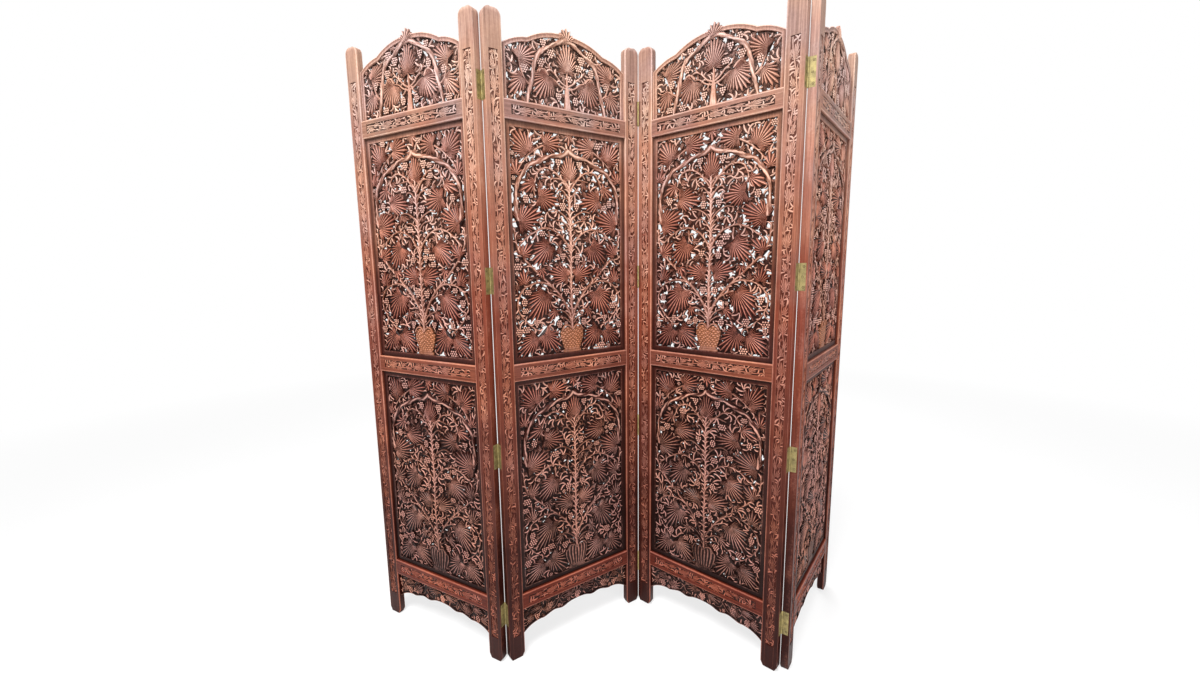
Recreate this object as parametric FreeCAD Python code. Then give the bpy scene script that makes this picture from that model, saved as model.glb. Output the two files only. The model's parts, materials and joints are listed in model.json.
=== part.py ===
import FreeCAD, Part
import math
import os

os.makedirs("parts", exist_ok=True)

# A folding room screen of four carved panels. Millimetres and degrees. +X runs along the screen to
# the right, +Y goes from the front of the screen to its back, +Z is up, and the origin is on the
# floor under the middle of the screen's bounding box at rest.

# Panel frame
panel_width = 500.0
stile_width = 50.0
frame_thickness = 22.0
rail_height = 50.0
foot_opening_height = 154.0
jali_opening_height = 656.5
stile_rise = 211.0
stile_top_radius = 19.0
foot_chamfer_width = 8.0
foot_chamfer_height = 14.0

# Boards: the pierced jalis, the crest and the apron all sit in one line of grooves
board_thickness = 9.0
board_recess = 8.0
groove_depth = 8.0
groove_clearance = 0.1
seat_clearance = 0.3
tenon_length = 30.0
tenon_clearance = 0.1

# Crest and apron outlines
crest_shoulder_drop = 75.0
crest_neck_drop = 15.0
finial_height = 19.0
finial_half_width = 27.0
apron_centre_depth = 48.0
apron_end_depth = 88.0

# Piercing of the boards
jali_border = 15.0
trunk_width = 16.0
branch_width = 34.0
leaf_gap_width = 26.0
least_opening = 9.0
relief_height = 2.0
vase_width = 80.0
vase_height = 82.0
crest_opening_length = 42.0
crest_opening_width = 20.0

# Butt hinges
hinge_gap = 1.2
leaf_length = 72.0
leaf_width = 18.0
leaf_thickness = 1.6
barrel_radius = 2.6
barrel_setoff = 0.4
barrel_clearance = 0.2
pin_radius = 1.3
pin_clearance = 0.05
knuckle_gap = 0.4
lowest_hinge_height = 150.0
highest_hinge_drop = 185.0
hinges_per_fold = 4
knuckles_per_hinge = 3
barrel_sides = 6

# Turn of each panel from the X axis at rest, seen from above
panel_turns = [-28.1, 35.9, -40.7, 54.6]
# The side of the panels on which each fold's barrels stand: back, front, back
fold_on_back = [True, False, True]

overrun = 5.0

# Sizes that follow from the ones above
opening_across = panel_width - 2 * stile_width
bottom_rail_top = foot_opening_height + rail_height
middle_rail_base = bottom_rail_top + jali_opening_height
middle_rail_top = middle_rail_base + rail_height
top_rail_base = middle_rail_top + jali_opening_height
top_rail_top = top_rail_base + rail_height
stile_height = top_rail_top + stile_rise
crest_shoulder_height = stile_rise - crest_shoulder_drop
crest_height = stile_rise - crest_neck_drop
rail_bases = [foot_opening_height, middle_rail_base, top_rail_base]
board_reach = groove_depth - seat_clearance
tenon_height = rail_height - 2 * groove_depth
panel_middle = panel_width / 2
# How far from a fold's axis its barrels need room
barrel_reach = barrel_radius + barrel_clearance


def point(x, y, z):
    return FreeCAD.Vector(x, y, z)


def block(low, high):
    """A box between two opposite corners."""
    size = high - low
    return Part.makeBox(size.x, size.y, size.z, low)


def plate(edges, near, far):
    """A flat board of an outline drawn in the XZ plane, between two depths."""
    wire = Part.Wire(edges)
    face = Part.Face(wire)
    face.translate(point(0, near, 0))
    return face.extrude(point(0, far - near, 0))


def polygon(places):
    """The closed straight-sided outline through places given as (x, z)."""
    corners = [point(x, 0, z) for x, z in places]
    return [Part.LineSegment(a, b).toShape() for a, b in zip(corners, corners[1:] + corners[:1])]


def arc(start, middle, end):
    a, b, c = (point(x, 0, z) for x, z in (start, middle, end))
    return Part.Arc(a, b, c).toShape()


def line(start, end):
    return Part.LineSegment(point(start[0], 0, start[1]), point(end[0], 0, end[1])).toShape()


def mirrored(place):
    return (-place[0], place[1])


# Stiles

def stile_outline():
    """Rounded head, tapered foot corners."""
    bend = stile_top_radius * (1 - math.sqrt(0.5))
    wide = stile_width
    high = stile_height
    round_base = high - stile_top_radius
    return [
        line((foot_chamfer_width, 0), (wide - foot_chamfer_width, 0)),
        line((wide - foot_chamfer_width, 0), (wide, foot_chamfer_height)),
        line((wide, foot_chamfer_height), (wide, round_base)),
        arc((wide, round_base), (wide - bend, high - bend), (wide - stile_top_radius, high)),
        line((wide - stile_top_radius, high), (stile_top_radius, high)),
        arc((stile_top_radius, high), (bend, high - bend), (0, round_base)),
        line((0, round_base), (0, foot_chamfer_height)),
        line((0, foot_chamfer_height), (foot_chamfer_width, 0)),
    ]


def stile():
    """A left stile: its inner edge, with groove and mortises, is the one at stile_width."""
    body = plate(stile_outline(), 0, frame_thickness)
    near = board_recess - groove_clearance
    far = board_recess + board_thickness + groove_clearance
    groove = block(
        point(stile_width - groove_depth, near, foot_opening_height - apron_end_depth - seat_clearance),
        point(stile_width + overrun, far, top_rail_top + crest_shoulder_height + seat_clearance),
    )
    body = body.cut(groove)
    for base in rail_bases:
        mortise = block(
            point(stile_width - tenon_length - tenon_clearance, near, base + groove_depth - tenon_clearance),
            point(stile_width + overrun, far, base + rail_height - groove_depth + tenon_clearance),
        )
        body = body.cut(mortise)
    return body


def hinge_heights():
    low = lowest_hinge_height
    high = stile_height - highest_hinge_drop
    step = (high - low) / (hinges_per_fold - 1)
    return [low + step * number for number in range(hinges_per_fold)]


def leaf_gains(on_back):
    """The seats in a stile's outer edge, at x = 0: shallow for a leaf, deeper at the corner for the barrel."""
    seats = [
        (leaf_thickness, leaf_width),
        (barrel_reach - hinge_gap / 2, barrel_reach - barrel_setoff),
    ]
    gains = []
    for middle in hinge_heights():
        low = middle - leaf_length / 2
        for across, deep in seats:
            near = frame_thickness - deep if on_back else -overrun
            far = frame_thickness + overrun if on_back else deep
            gains.append(block(point(-overrun, near, low), point(across, far, low + leaf_length)))
    return gains


def hinged_stile(on_back):
    body = stile()
    for gain in leaf_gains(on_back):
        body = body.cut(gain)
    return body


# Rails

def rail(base):
    """A rail between the stiles with a tenon at each end and grooves for the boards."""
    left = stile_width
    right = panel_width - stile_width
    top = base + rail_height
    near = board_recess - groove_clearance
    far = board_recess + board_thickness + groove_clearance
    body = block(point(left, 0, base), point(right, frame_thickness, top))
    for low, high in ((base - overrun, base + groove_depth), (top - groove_depth, top + overrun)):
        body = body.cut(block(point(left - overrun, near, low), point(right + overrun, far, high)))
    tenon = block(
        point(left - tenon_length, board_recess, base + groove_depth),
        point(right + tenon_length, board_recess + board_thickness, base + groove_depth + tenon_height),
    )
    return body.fuse(tenon).removeSplitter()


# Pierced boards

def cut_through(board, corners):
    """Cut one straight-sided opening, and its mirror image on the trunk's other side."""
    near = board_recess - overrun
    far = board_recess + board_thickness + overrun
    board = board.cut(plate(polygon(corners), near, far))
    return board.cut(plate(polygon([mirrored(corner) for corner in corners]), near, far))


def branch_height(shares, across_share):
    """Height share of a branch: it runs through its heights at trunk, middle and border."""
    at_trunk, at_middle, at_border = shares
    rest_share = 1 - across_share
    return (at_trunk * rest_share * (rest_share - across_share)
            + at_middle * 4 * across_share * rest_share
            + at_border * across_share * (across_share - rest_share))


def jali():
    """One pierced board, its middle at x = 0 and its sight edge's foot at z = 0.

    A vase stands at the foot and a trunk rises from it. Leafy branches arch out from the trunk on
    both sides under an ogee vine, and the openings lie between one branch and the next.
    """
    half = opening_across / 2
    field_half = half - jali_border
    field_height = jali_opening_height - 2 * jali_border
    board = block(
        point(-half - board_reach, board_recess, -board_reach),
        point(half + board_reach, board_recess + board_thickness, jali_opening_height + board_reach),
    )
    # Heights of the branches at the trunk, half way out and at the border
    branch_shares = [
        (-0.03, -0.03, -0.03),
        (0.15, 0.15, 0.17),
        (0.24, 0.34, 0.38),
        (0.38, 0.49, 0.52),
        (0.53, 0.64, 0.63),
        (0.70, 0.77, 0.72),
        (0.94, 0.90, 0.74),
        (1.03, 1.03, 1.03),
    ]
    # Where the leaves stand between two branches, as shares of the way from trunk to border. A row
    # that starts at zero has its first opening beside the trunk itself
    leaf_shares = [
        (0.24, 0.60, 1.03),
        (0.0, 0.38, 0.70, 1.03),
        (0.0, 0.30, 0.64, 1.03),
        (0.0, 0.36, 0.68, 1.03),
        (0.0, 0.30, 0.64, 1.03),
        (0.0, 0.36, 0.68, 1.03),
        (0.22, 0.60, 1.03),
    ]
    lean = 0.03 * field_half
    for lower, upper, leaves in zip(branch_shares, branch_shares[1:], leaf_shares):
        for inner_share, outer_share in zip(leaves, leaves[1:]):
            inner_edge = (inner_share * field_half + leaf_gap_width / 2, lean)
            outer_edge = (outer_share * field_half - leaf_gap_width / 2, lean)
            if inner_share == 0:
                inner_edge = (trunk_width / 2, 0)
            corners = []
            for across, leaning in (inner_edge, outer_edge):
                reached_share = across / field_half
                low = branch_height(lower, reached_share) * field_height + branch_width / 2
                high = branch_height(upper, reached_share) * field_height - branch_width / 2
                corners.append((across - leaning, jali_border + low))
                corners.append((across + leaning, jali_border + high))
            inner_low, inner_high, outer_low, outer_high = corners
            if min(inner_high[1] - inner_low[1], outer_high[1] - outer_low[1]) > least_opening:
                board = cut_through(board, [inner_low, outer_low, outer_high, inner_high])
    return board.fuse(vase()).removeSplitter()


def vase():
    """The vase's relief, with heart-shaped lip, swelling body and foot."""
    half = vase_width / 2
    base = jali_border
    # Half widths and heights from the foot up to the dip in the lip
    profile_shares = [(0.80, 0.0), (0.70, 0.20), (1.0, 0.62), (0.92, 0.92), (0.45, 1.0), (0.0, 0.90)]
    right = [(across * half, base + up * vase_height) for across, up in profile_shares]
    left = [mirrored(place) for place in reversed(right[:-1])]
    return plate(polygon(right + left), board_recess - relief_height, board_recess)


def kite(middle, length, width, lean):
    """A pointed opening, longer on its outer side, that leans from the X axis."""
    blunt_share = 0.38
    along = (math.cos(math.radians(lean)), math.sin(math.radians(lean)))
    steps = [(-length * blunt_share, 0), (0, -width / 2), (length * (1 - blunt_share), 0), (0, width / 2)]
    return [(middle[0] + ahead * along[0] - aside * along[1],
             middle[1] + ahead * along[1] + aside * along[0]) for ahead, aside in steps]


def crest_outline():
    """The top edge of the crest: a stepped ogee on each side of a leaf finial."""
    half = opening_across / 2
    rise = crest_height - crest_shoulder_height
    edge = (half + board_reach, crest_shoulder_height)
    lip = (half, crest_shoulder_height)
    lobe = (0.80 * half, crest_shoulder_height + 0.36 * rise)
    step = (0.62 * half, crest_shoulder_height + 0.50 * rise)
    swell = (0.46 * half, crest_shoulder_height + 0.76 * rise)
    neck = (finial_half_width, crest_height)
    cheek = (0.92 * finial_half_width, crest_height + 0.48 * finial_height)
    brow = (0.50 * finial_half_width, crest_height + 0.86 * finial_height)
    tip = (0, crest_height + finial_height)
    foot = (half + board_reach, -board_reach)
    edges = [line(mirrored(foot), foot), line(foot, edge), line(edge, lip), arc(lip, lobe, step),
             arc(step, swell, neck), line(neck, cheek), line(cheek, brow), line(brow, tip)]
    back = [line(tip, mirrored(brow)), line(mirrored(brow), mirrored(cheek)),
            line(mirrored(cheek), mirrored(neck)), arc(mirrored(neck), mirrored(swell), mirrored(step)),
            arc(mirrored(step), mirrored(lobe), mirrored(lip)), line(mirrored(lip), mirrored(edge)),
            line(mirrored(edge), mirrored(foot))]
    return edges + back


def crest():
    """The pierced crest, its middle at x = 0 and the top rail's upper edge at z = 0."""
    board = plate(crest_outline(), board_recess, board_recess + board_thickness)
    half = opening_across / 2
    # Places of the openings as shares of the half width and the crest's height, with their lean
    place_shares = [
        (0.14, 0.18, 60.0),
        (0.24, 0.52, 40.0),
        (0.48, 0.16, -20.0),
        (0.56, 0.60, -35.0),
        (0.70, 0.34, -70.0),
        (0.88, 0.18, 20.0),
    ]
    for across_share, up_share, lean in place_shares:
        middle = (across_share * half, up_share * crest_height)
        board = cut_through(board, kite(middle, crest_opening_length, crest_opening_width, lean))
    return board


def apron():
    """The cusped apron under the bottom rail, its middle at x = 0 and the rail's base at z = 0."""
    half = opening_across / 2
    drop = apron_end_depth - apron_centre_depth
    # The lower edge from its middle outwards: the tops of the foils and the cusps between them, as
    # shares of the half width and of the drop
    foil_shares = [(0.0, 0.0), (0.15, 0.06), (0.29, 0.26), (0.44, 0.16), (0.62, 0.40)]
    foils = [(across * half, -apron_centre_depth - down * drop) for across, down in foil_shares]
    sweep = (0.86 * half, -apron_centre_depth - 0.56 * drop)
    lip = (half, -apron_end_depth)
    tongue = (half + board_reach, -apron_end_depth)
    head = (half + board_reach, board_reach)
    right = [line(a, b) for a, b in zip(foils, foils[1:])]
    right += [arc(foils[-1], sweep, lip), line(lip, tongue), line(tongue, head)]
    left = [line(mirrored(head), mirrored(tongue)), line(mirrored(tongue), mirrored(lip)),
            arc(mirrored(lip), mirrored(sweep), mirrored(foils[-1]))]
    inwards = foils[::-1]
    left += [line(mirrored(a), mirrored(b)) for a, b in zip(inwards, inwards[1:])]
    edges = right + [line(head, mirrored(head))] + left
    return plate(edges, board_recess, board_recess + board_thickness)


# Hinges, drawn about the barrel's axis: x away from the fold's middle plane, y into the thickness

def round_bar(radius, low, high):
    """A round bar about the fold's axis, drawn with few flats because the screen holds many."""
    turns = [math.radians(360 * (number + 0.5) / barrel_sides) for number in range(barrel_sides)]
    corners = [point(radius * math.cos(turn), radius * math.sin(turn), low) for turn in turns]
    face = Part.Face(Part.makePolygon(corners + corners[:1]))
    return face.extrude(point(0, 0, high - low))


def knuckle(low, high):
    """A rolled knuckle with its bore and the strip that joins it to the leaf."""
    roll = round_bar(barrel_radius, low, high)
    strip = block(point(hinge_gap / 2, 0, low), point(hinge_gap / 2 + leaf_thickness, barrel_reach, high))
    # The flats of the bore stand clear of the pin's corners, so that the pin turns
    bore_radius = (pin_radius + pin_clearance) / math.cos(math.pi / barrel_sides)
    bore = round_bar(bore_radius, low - overrun, high + overrun)
    return roll.fuse(strip).cut(bore)


def leaf(keeps_outer):
    """A leaf with its own knuckles: the outer ones, or those between them."""
    body = block(
        point(hinge_gap / 2, barrel_reach, -leaf_length / 2),
        point(hinge_gap / 2 + leaf_thickness, barrel_setoff + leaf_width, leaf_length / 2),
    )
    length = leaf_length / knuckles_per_hinge
    for number in range(knuckles_per_hinge):
        if (number % 2 == 0) == keeps_outer:
            low = -leaf_length / 2 + number * length
            low_end = low + (knuckle_gap / 2 if number > 0 else 0)
            high_end = low + length - (knuckle_gap / 2 if number < knuckles_per_hinge - 1 else 0)
            body = body.fuse(knuckle(low_end, high_end))
    return body.removeSplitter()


def pin():
    return round_bar(pin_radius, -leaf_length / 2, leaf_length / 2)


# Places of the panels and folds at rest

class Panel:
    """A panel's place: its turn, and where the front left corner of its left stile stands."""

    def __init__(self, turn, corner):
        self.turn = turn
        self.corner = corner

    def place(self, x, y, z=0):
        angle = math.radians(self.turn)
        along = point(math.cos(angle), math.sin(angle), 0)
        inward = point(-math.sin(angle), math.cos(angle), 0)
        return self.corner + along * x + inward * y + point(0, 0, z)

    def put(self, shape, x=0, y=0, z=0):
        """Move a shape from the panel's own axes to the screen's."""
        place = FreeCAD.Placement(self.place(x, y, z), FreeCAD.Rotation(point(0, 0, 1), self.turn))
        moved = shape.copy()
        moved.transformShape(place.toMatrix(), True)
        return moved


def axis_depth(on_back):
    """Depth of a fold's axis in the panels' own axes."""
    return frame_thickness + barrel_setoff if on_back else -barrel_setoff


def chain():
    """Lay the panels out from left to right, each hung on the fold before it."""
    panels = [Panel(panel_turns[0], point(0, 0, 0))]
    folds = []
    for number, on_back in enumerate(fold_on_back):
        depth = axis_depth(on_back)
        axis = panels[-1].place(panel_width + hinge_gap / 2, depth)
        folds.append(axis)
        following = Panel(panel_turns[number + 1], point(0, 0, 0))
        following.corner = axis - following.place(-hinge_gap / 2, depth)
        panels.append(following)
    return panels, folds


def mirror_x(shape, about):
    return shape.mirror(point(about, 0, 0), point(1, 0, 0))


def mirror_y(shape, about):
    return shape.mirror(point(0, about, 0), point(0, 1, 0))


panels, folds = chain()

# Pieces of one panel in its own axes
plain_left = stile()
plain_right = mirror_x(plain_left, panel_middle)
board_pieces = {
    "upper_jali": (jali(), middle_rail_top),
    "lower_jali": (jali(), bottom_rail_top),
    "crest": (crest(), top_rail_top),
    "apron": (apron(), foot_opening_height),
}
rail_names = ["bottom_rail", "middle_rail", "top_rail"]

pieces = {}
for number, panel in enumerate(panels):
    name = "panel_%d_" % (number + 1)
    left = plain_left
    right = plain_right
    if number > 0:
        left = hinged_stile(fold_on_back[number - 1])
    if number < len(folds):
        right = mirror_x(hinged_stile(fold_on_back[number]), panel_middle)
    pieces[name + "left_stile"] = panel.put(left)
    pieces[name + "right_stile"] = panel.put(right)
    for rail_name, base in zip(rail_names, rail_bases):
        pieces[name + rail_name] = panel.put(rail(base))
    for board_name, (board, base) in board_pieces.items():
        pieces[name + board_name] = panel.put(board, panel_middle, 0, base)

# Hinges: the leaves on the right-hand panel keep the knuckles between the outer ones
for number, on_back in enumerate(fold_on_back):
    name = "fold_%d_" % (number + 1)
    depth = axis_depth(on_back)
    outer = mirror_x(leaf(True), 0)
    inner = leaf(False)
    if on_back:
        outer = mirror_y(outer, 0)
        inner = mirror_y(inner, 0)
    left_leaves = []
    right_leaves = []
    pins = []
    for height in hinge_heights():
        left_leaves.append(panels[number].put(outer, panel_width + hinge_gap / 2, depth, height))
        right_leaves.append(panels[number + 1].put(inner, -hinge_gap / 2, depth, height))
        pins.append(panels[number + 1].put(pin(), -hinge_gap / 2, depth, height))
    pieces[name + "left_leaves"] = Part.makeCompound(left_leaves)
    pieces[name + "right_leaves"] = Part.makeCompound(right_leaves)
    pieces[name + "pins"] = Part.makeCompound(pins)

# Move the origin to the floor under the middle of the bounding box
whole = Part.makeCompound(list(pieces.values()))
extent = whole.BoundBox
middle = point((extent.XMin + extent.XMax) / 2, (extent.YMin + extent.YMax) / 2, 0)
for name, shape in pieces.items():
    shape.translate(middle * -1)
    shape.exportStep("parts/%s.step" % name)

print("screen %.1f wide, %.1f deep, %.1f high" % (extent.XLength, extent.YLength, extent.ZLength))
for number, axis in enumerate(folds):
    at = axis - middle
    print("fold_%d axis at x %.3f y %.3f" % (number + 1, at.x, at.y))
first = panels[0].place(stile_width / 2, frame_thickness / 2) - middle
print("middle of the first foot at x %.3f y %.3f" % (first.x, first.y))
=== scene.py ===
import json
import math
import bmesh
import bpy
import numpy as np
from mathutils import Matrix, Vector


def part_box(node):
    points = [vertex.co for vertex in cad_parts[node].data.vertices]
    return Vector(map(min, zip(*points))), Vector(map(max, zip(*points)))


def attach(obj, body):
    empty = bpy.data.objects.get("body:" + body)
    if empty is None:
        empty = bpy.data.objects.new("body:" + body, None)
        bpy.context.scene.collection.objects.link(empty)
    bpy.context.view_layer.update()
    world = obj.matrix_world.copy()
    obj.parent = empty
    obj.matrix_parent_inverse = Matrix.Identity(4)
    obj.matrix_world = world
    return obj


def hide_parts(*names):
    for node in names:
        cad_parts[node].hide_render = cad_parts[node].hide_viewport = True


# A folding screen of four carved panels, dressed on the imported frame. Metres. Each panel has its own
# axes: x from its middle to the right, y from its front face into its thickness, z up from the floor.
# Carving is drawn in a board's plane, and its height is measured towards the viewer from the board's
# front face.

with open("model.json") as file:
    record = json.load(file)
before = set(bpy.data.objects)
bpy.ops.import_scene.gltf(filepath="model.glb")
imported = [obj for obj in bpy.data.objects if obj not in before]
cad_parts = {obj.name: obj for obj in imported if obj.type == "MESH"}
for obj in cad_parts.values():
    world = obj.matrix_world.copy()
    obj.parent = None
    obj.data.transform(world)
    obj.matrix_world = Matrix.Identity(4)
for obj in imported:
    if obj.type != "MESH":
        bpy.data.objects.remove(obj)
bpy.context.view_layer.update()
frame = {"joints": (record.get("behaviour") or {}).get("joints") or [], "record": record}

# Sizes that the part's source has too
frame_thickness = 0.022
stile_width = 0.050
stile_head_radius = 0.019
foot_chamfer_width = 0.008
foot_chamfer_height = 0.014
board_thickness = 0.009
board_recess = 0.008
board_reach = 0.0077
leaf_thickness = 0.0016
leaf_length = 0.072
hinge_leaf_width = 0.018
barrel_radius = 0.0026
barrel_setoff = 0.0004
barrel_reach = 0.0028
hinge_gap = 0.0012
knuckle_gap = 0.0004
brass_soft = 0.0003
pin_radius = 0.0013
crest_shoulder_height = 0.136
crest_height = 0.196
finial_height = 0.019
finial_half_width = 0.027
apron_centre_depth = 0.048
apron_end_depth = 0.088

# Sizes of the carving
margin_width = 0.0155
arris = 0.0022
keen_arris = 0.00025
band_half_width = 0.013
band_depth = 0.0019
band_foot = 0.075
band_head_drop = 0.098
band_end_share = 0.9
ring_spacing = 0.06
vine_period = 0.226
vine_sway = 0.0068
vine_radius = 0.0019
arch_rise = 0.0022
fill_drop = 0.0012
undergrowth_drop = 0.0050
screw_spacing = 0.027
crest_border_width = 0.0125

# How pale the frame's flat faces, the edges of its bands and its soft corners are set: wear together with
# painted highlight on the edges and corners, and a little painted shade on the flat faces
plain_wear_and_shade = 0.37
lip_wear_and_sheen = 0.65
corner_wear_and_sheen = 0.75


# Places of the panels, read from the frame

def middle_of(node):
    """The middle of a node's box."""
    low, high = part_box(node)
    return (low + high) / 2


class Panel:
    """A panel's own axes, found from its two stiles."""

    def __init__(self, number):
        self.number = number
        self.body = "panel_%d" % number
        left = middle_of(self.node("left_stile"))
        right = middle_of(self.node("right_stile"))
        along = right - left
        self.turn = math.atan2(along.y, along.x)
        self.half_width = along.length / 2 + stile_width / 2
        inward = Vector((-math.sin(self.turn), math.cos(self.turn), 0))
        origin = (left + right) / 2 - inward * frame_thickness / 2
        origin.z = 0
        self.matrix = Matrix.Translation(origin) @ Matrix.Rotation(self.turn, 4, "Z")

    def node(self, piece):
        return "%s_%s" % (self.body, piece)


panels = [Panel(number) for number in (1, 2, 3, 4)]
rail_names = ("bottom_rail", "middle_rail", "top_rail")
rail_bases, rail_tops = ([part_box("panel_1_" + name)[end].z for name in rail_names] for end in (0, 1))
stile_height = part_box("panel_1_left_stile")[1].z
opening_half = panels[0].half_width - stile_width
opening_height = rail_bases[1] - rail_tops[0]
pins_low, pins_high = (corner.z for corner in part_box("fold_1_pins"))
hinge_heights = np.linspace(pins_low + leaf_length / 2, pins_high - leaf_length / 2, 4).tolist()


# Shapes

class Carving:
    """The surface of one piece, gathered shape by shape, with each point's wear and painted light (pale as
    wear and painted highlight on ridges, dark as painted shade in hollows) and how tan it is.
    """

    def __init__(self, front):
        self.front = front
        self.points = []
        self.worn = []
        self.tan = []
        self.faces = []
        self.count = 0

    def loft(self, rings, worn, tan=0.0, closed=False):
        """Skin a row of rings, given as across, up and height, and close its two ends."""
        rings = np.asarray(rings, float)
        rows, columns = rings.shape[:2]
        worn = np.broadcast_to(worn, (rows, columns))
        index = self.count + np.arange(rows * columns).reshape(rows, columns)
        lower, upper = index[:-1], index[1:]
        if closed:
            lower, upper = index, np.roll(index, -1, 0)
        quads = np.stack([lower, upper, np.roll(upper, -1, 1), np.roll(lower, -1, 1)], -1)
        self.faces += quads.reshape(-1, 4).tolist()
        self.points.append(rings.reshape(-1, 3))
        self.worn.append(worn.reshape(-1))
        self.count += rows * columns
        if not closed:
            for ring, row in ((rings[0], 0), (rings[-1], -1)):
                self.points.append(ring.mean(0)[None])
                self.worn.append(worn[row].mean(keepdims=True))
                ends = np.stack([np.full(columns, self.count), index[row], np.roll(index[row], -1)], -1)
                self.faces += ends.tolist()
                self.count += 1
        added = self.count - sum(len(part) for part in self.tan)
        self.tan.append(np.full(added, float(tan)))


def curve(places, step=0.005):
    """Points along a smooth line through the places."""
    places = np.asarray(places, float)
    ends = np.vstack([2 * places[0] - places[1], places, 2 * places[-1] - places[-2]])
    points = []
    for before, start, end, after in zip(ends, ends[1:], ends[2:], ends[3:]):
        steps = max(2, int(np.hypot(*(end - start)) / step))
        t = np.arange(steps)[:, None] / steps
        points.append(0.5 * (2 * start + (end - before) * t
                             + (2 * before - 5 * start + 4 * end - after) * t ** 2
                             + (3 * start - before - 3 * end + after) * t ** 3))
    return np.vstack(points + [places[-1:]])


def sideways(path):
    """Unit vectors square to a path."""
    along = np.gradient(path, axis=0)
    along /= np.maximum(np.hypot(*along.T)[:, None], 1e-9)
    return np.stack([-along[:, 1], along[:, 0]], -1)


def mirrored(places):
    """The same places on the left of the middle line."""
    return [(-x, z) for x, z in places]


def all_round(count):
    """Equal turns round a full circle."""
    return np.linspace(0, 2 * math.pi, count, endpoint=False)


def leaf_outline(root, tip, width, fingers, half_fan):
    """The edge of a leaf, with a point for each finger, and how near its ridge each place is."""
    count = 2 * fingers + 1
    share = np.linspace(-1, 1, count)
    angle = half_fan * np.sign(share) * np.abs(share) ** 1.12
    ridge = np.arange(count) % 2 * 1.0
    lobe = 1 + 0.10 * np.cos(angle * 2 * math.pi / 0.82)
    reach = (0.32 + 0.68 * np.exp(-(angle / 0.74) ** 2)) * lobe
    reach *= (0.80 + 0.20 * ridge) / reach.max()
    along = np.subtract(tip, root)
    length = np.hypot(*along)
    ahead = reach * np.cos(angle)
    aside = reach * np.sin(angle)
    aside *= width / length / np.ptp(aside)
    square = np.array([-along[1], along[0]])
    edge = np.asarray(root) + ahead[:, None] * along + aside[:, None] * square
    return edge, ridge, np.abs(share), length


def leaf(carving, root, tip, width, top, fingers=11, half_fan=1.95, crown=0.0026, rise=0.0,
         back=True, depth=board_thickness, tan=0.0, hollow=0.0, wear_and_sheen=1.0, cut=0.0018):
    """A vine leaf: its ridges fan out from the root, and each ends in a point of the edge."""
    edge, ridge, side, length = leaf_outline(root, tip, width, fingers, half_fan)
    root = np.asarray(root, float)
    groove = min(cut, 0.42 * length * half_fan / fingers)
    droop = 0.0011
    rim = 0.0020
    rings = []
    worn = []
    for share in [0.10, 0.32, 0.55, 0.78, 1.0] if fingers > 7 else [0.2, 0.6, 1.0]:
        dome = max(0.0, 1 - ((share - 0.42) / 0.58) ** 2)
        grown = min(1.0, share / 0.3)
        sunk = crown * (1 - dome) + groove * grown * (1 - ridge) + droop * side ** 2
        place = root + share * (edge - root)
        rings.append(np.column_stack([place, top + rise * (share - 0.4) - sunk]))
        # Ridges are set pale, as wear and painted highlight, and the valleys between them dark, as painted
        # shade.
        worn.append(hollow + (wear_and_sheen - hollow) * ridge * (0.7 + 0.3 * dome))
    for share, sunk in ((1.0, rim), (0.86, 0.0), (0.3, 0.0)) if back else ((1.0, 0.0),):
        place = root + share * (edge - root)
        carved = sunk + back * groove * 0.6 * share * (1 - ridge)
        rings.append(np.column_stack([place, carved - depth]))
        worn.append(0.1 + 0.5 * back * ridge)
    carving.loft(rings, np.array(worn), tan)
    return edge


def stem(carving, path, radius, top, taper=1.0, knots=0.0, depth=board_thickness, sides=10, tan=1.0,
         wear_and_sheen=0.66):
    """A round-backed stem along a path, gnarled if it has knots."""
    path = np.asarray(path, float)
    length = len(path)
    share = np.linspace(0, 1, length)
    swell = radius * (1 + (taper - 1) * share)
    if knots:
        swell *= 1 + knots * (np.sin(share * length * 1.5) + 0.7 * np.sin(share * length * 0.37 + 1))
    around = all_round(sides)
    square = sideways(path)
    twist = knots * np.sin(3 * around[None] + share[:, None] * length * 0.25)
    wide = swell[:, None] * (1 + twist)
    half_height = (top + depth) / 2 * np.minimum(1, swell / radius)
    height = (top - depth) / 2 + np.sin(around)[None] * half_height[:, None] * (1 + twist)
    place = path[:, None] + square[:, None] * (np.cos(around)[None] * wide)[..., None]
    bark = 1.5 * knots * np.sin(4 * around[None] + share[:, None] * length * 0.6)
    # The stem's crown, turned to the viewer, is set pale as wear and painted highlight, its sides dark as
    # painted shade.
    worn = 0.08 + wear_and_sheen * np.clip(np.sin(around), 0, 1)[None] ** 1.5 + bark
    carving.loft(np.dstack([place, height]), worn, tan)


def leaflet(carving, root, way, length, half_width, top, bend, depth=board_thickness, hollow=0.05):
    """A small curved leaflet, cut to a ridge along its middle."""
    share = np.linspace(0, 1, 6)
    turn = way + bend * (share - 0.3)
    steps = length / 5 * np.column_stack([np.cos(turn), np.sin(turn)])
    path = np.asarray(root) + np.vstack([[0, 0], np.cumsum(steps[:-1], 0)])
    half = half_width * np.interp(share, [0, 0.4, 0.8, 1], [0.4, 1.0, 0.9, 0.2])
    ridge = top - 0.0010 * share
    brow = np.maximum(ridge - 0.9 * half, -depth * 0.8)
    flat = np.full(6, -depth)
    square = sideways(path) * half[:, None]
    lines = ((-1, flat), (-1, brow), (0, ridge), (1, brow), (1, flat))
    rings = np.stack([np.column_stack([path + square * side, height]) for side, height in lines], 1)
    # The leaflet's ridge is set pale as wear and painted highlight, its foot dark as painted shade.
    carving.loft(rings, np.array([0.0, 0.3 + hollow, 1.15, 0.3 + hollow, 0.0]), 0.3)
    return path


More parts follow.
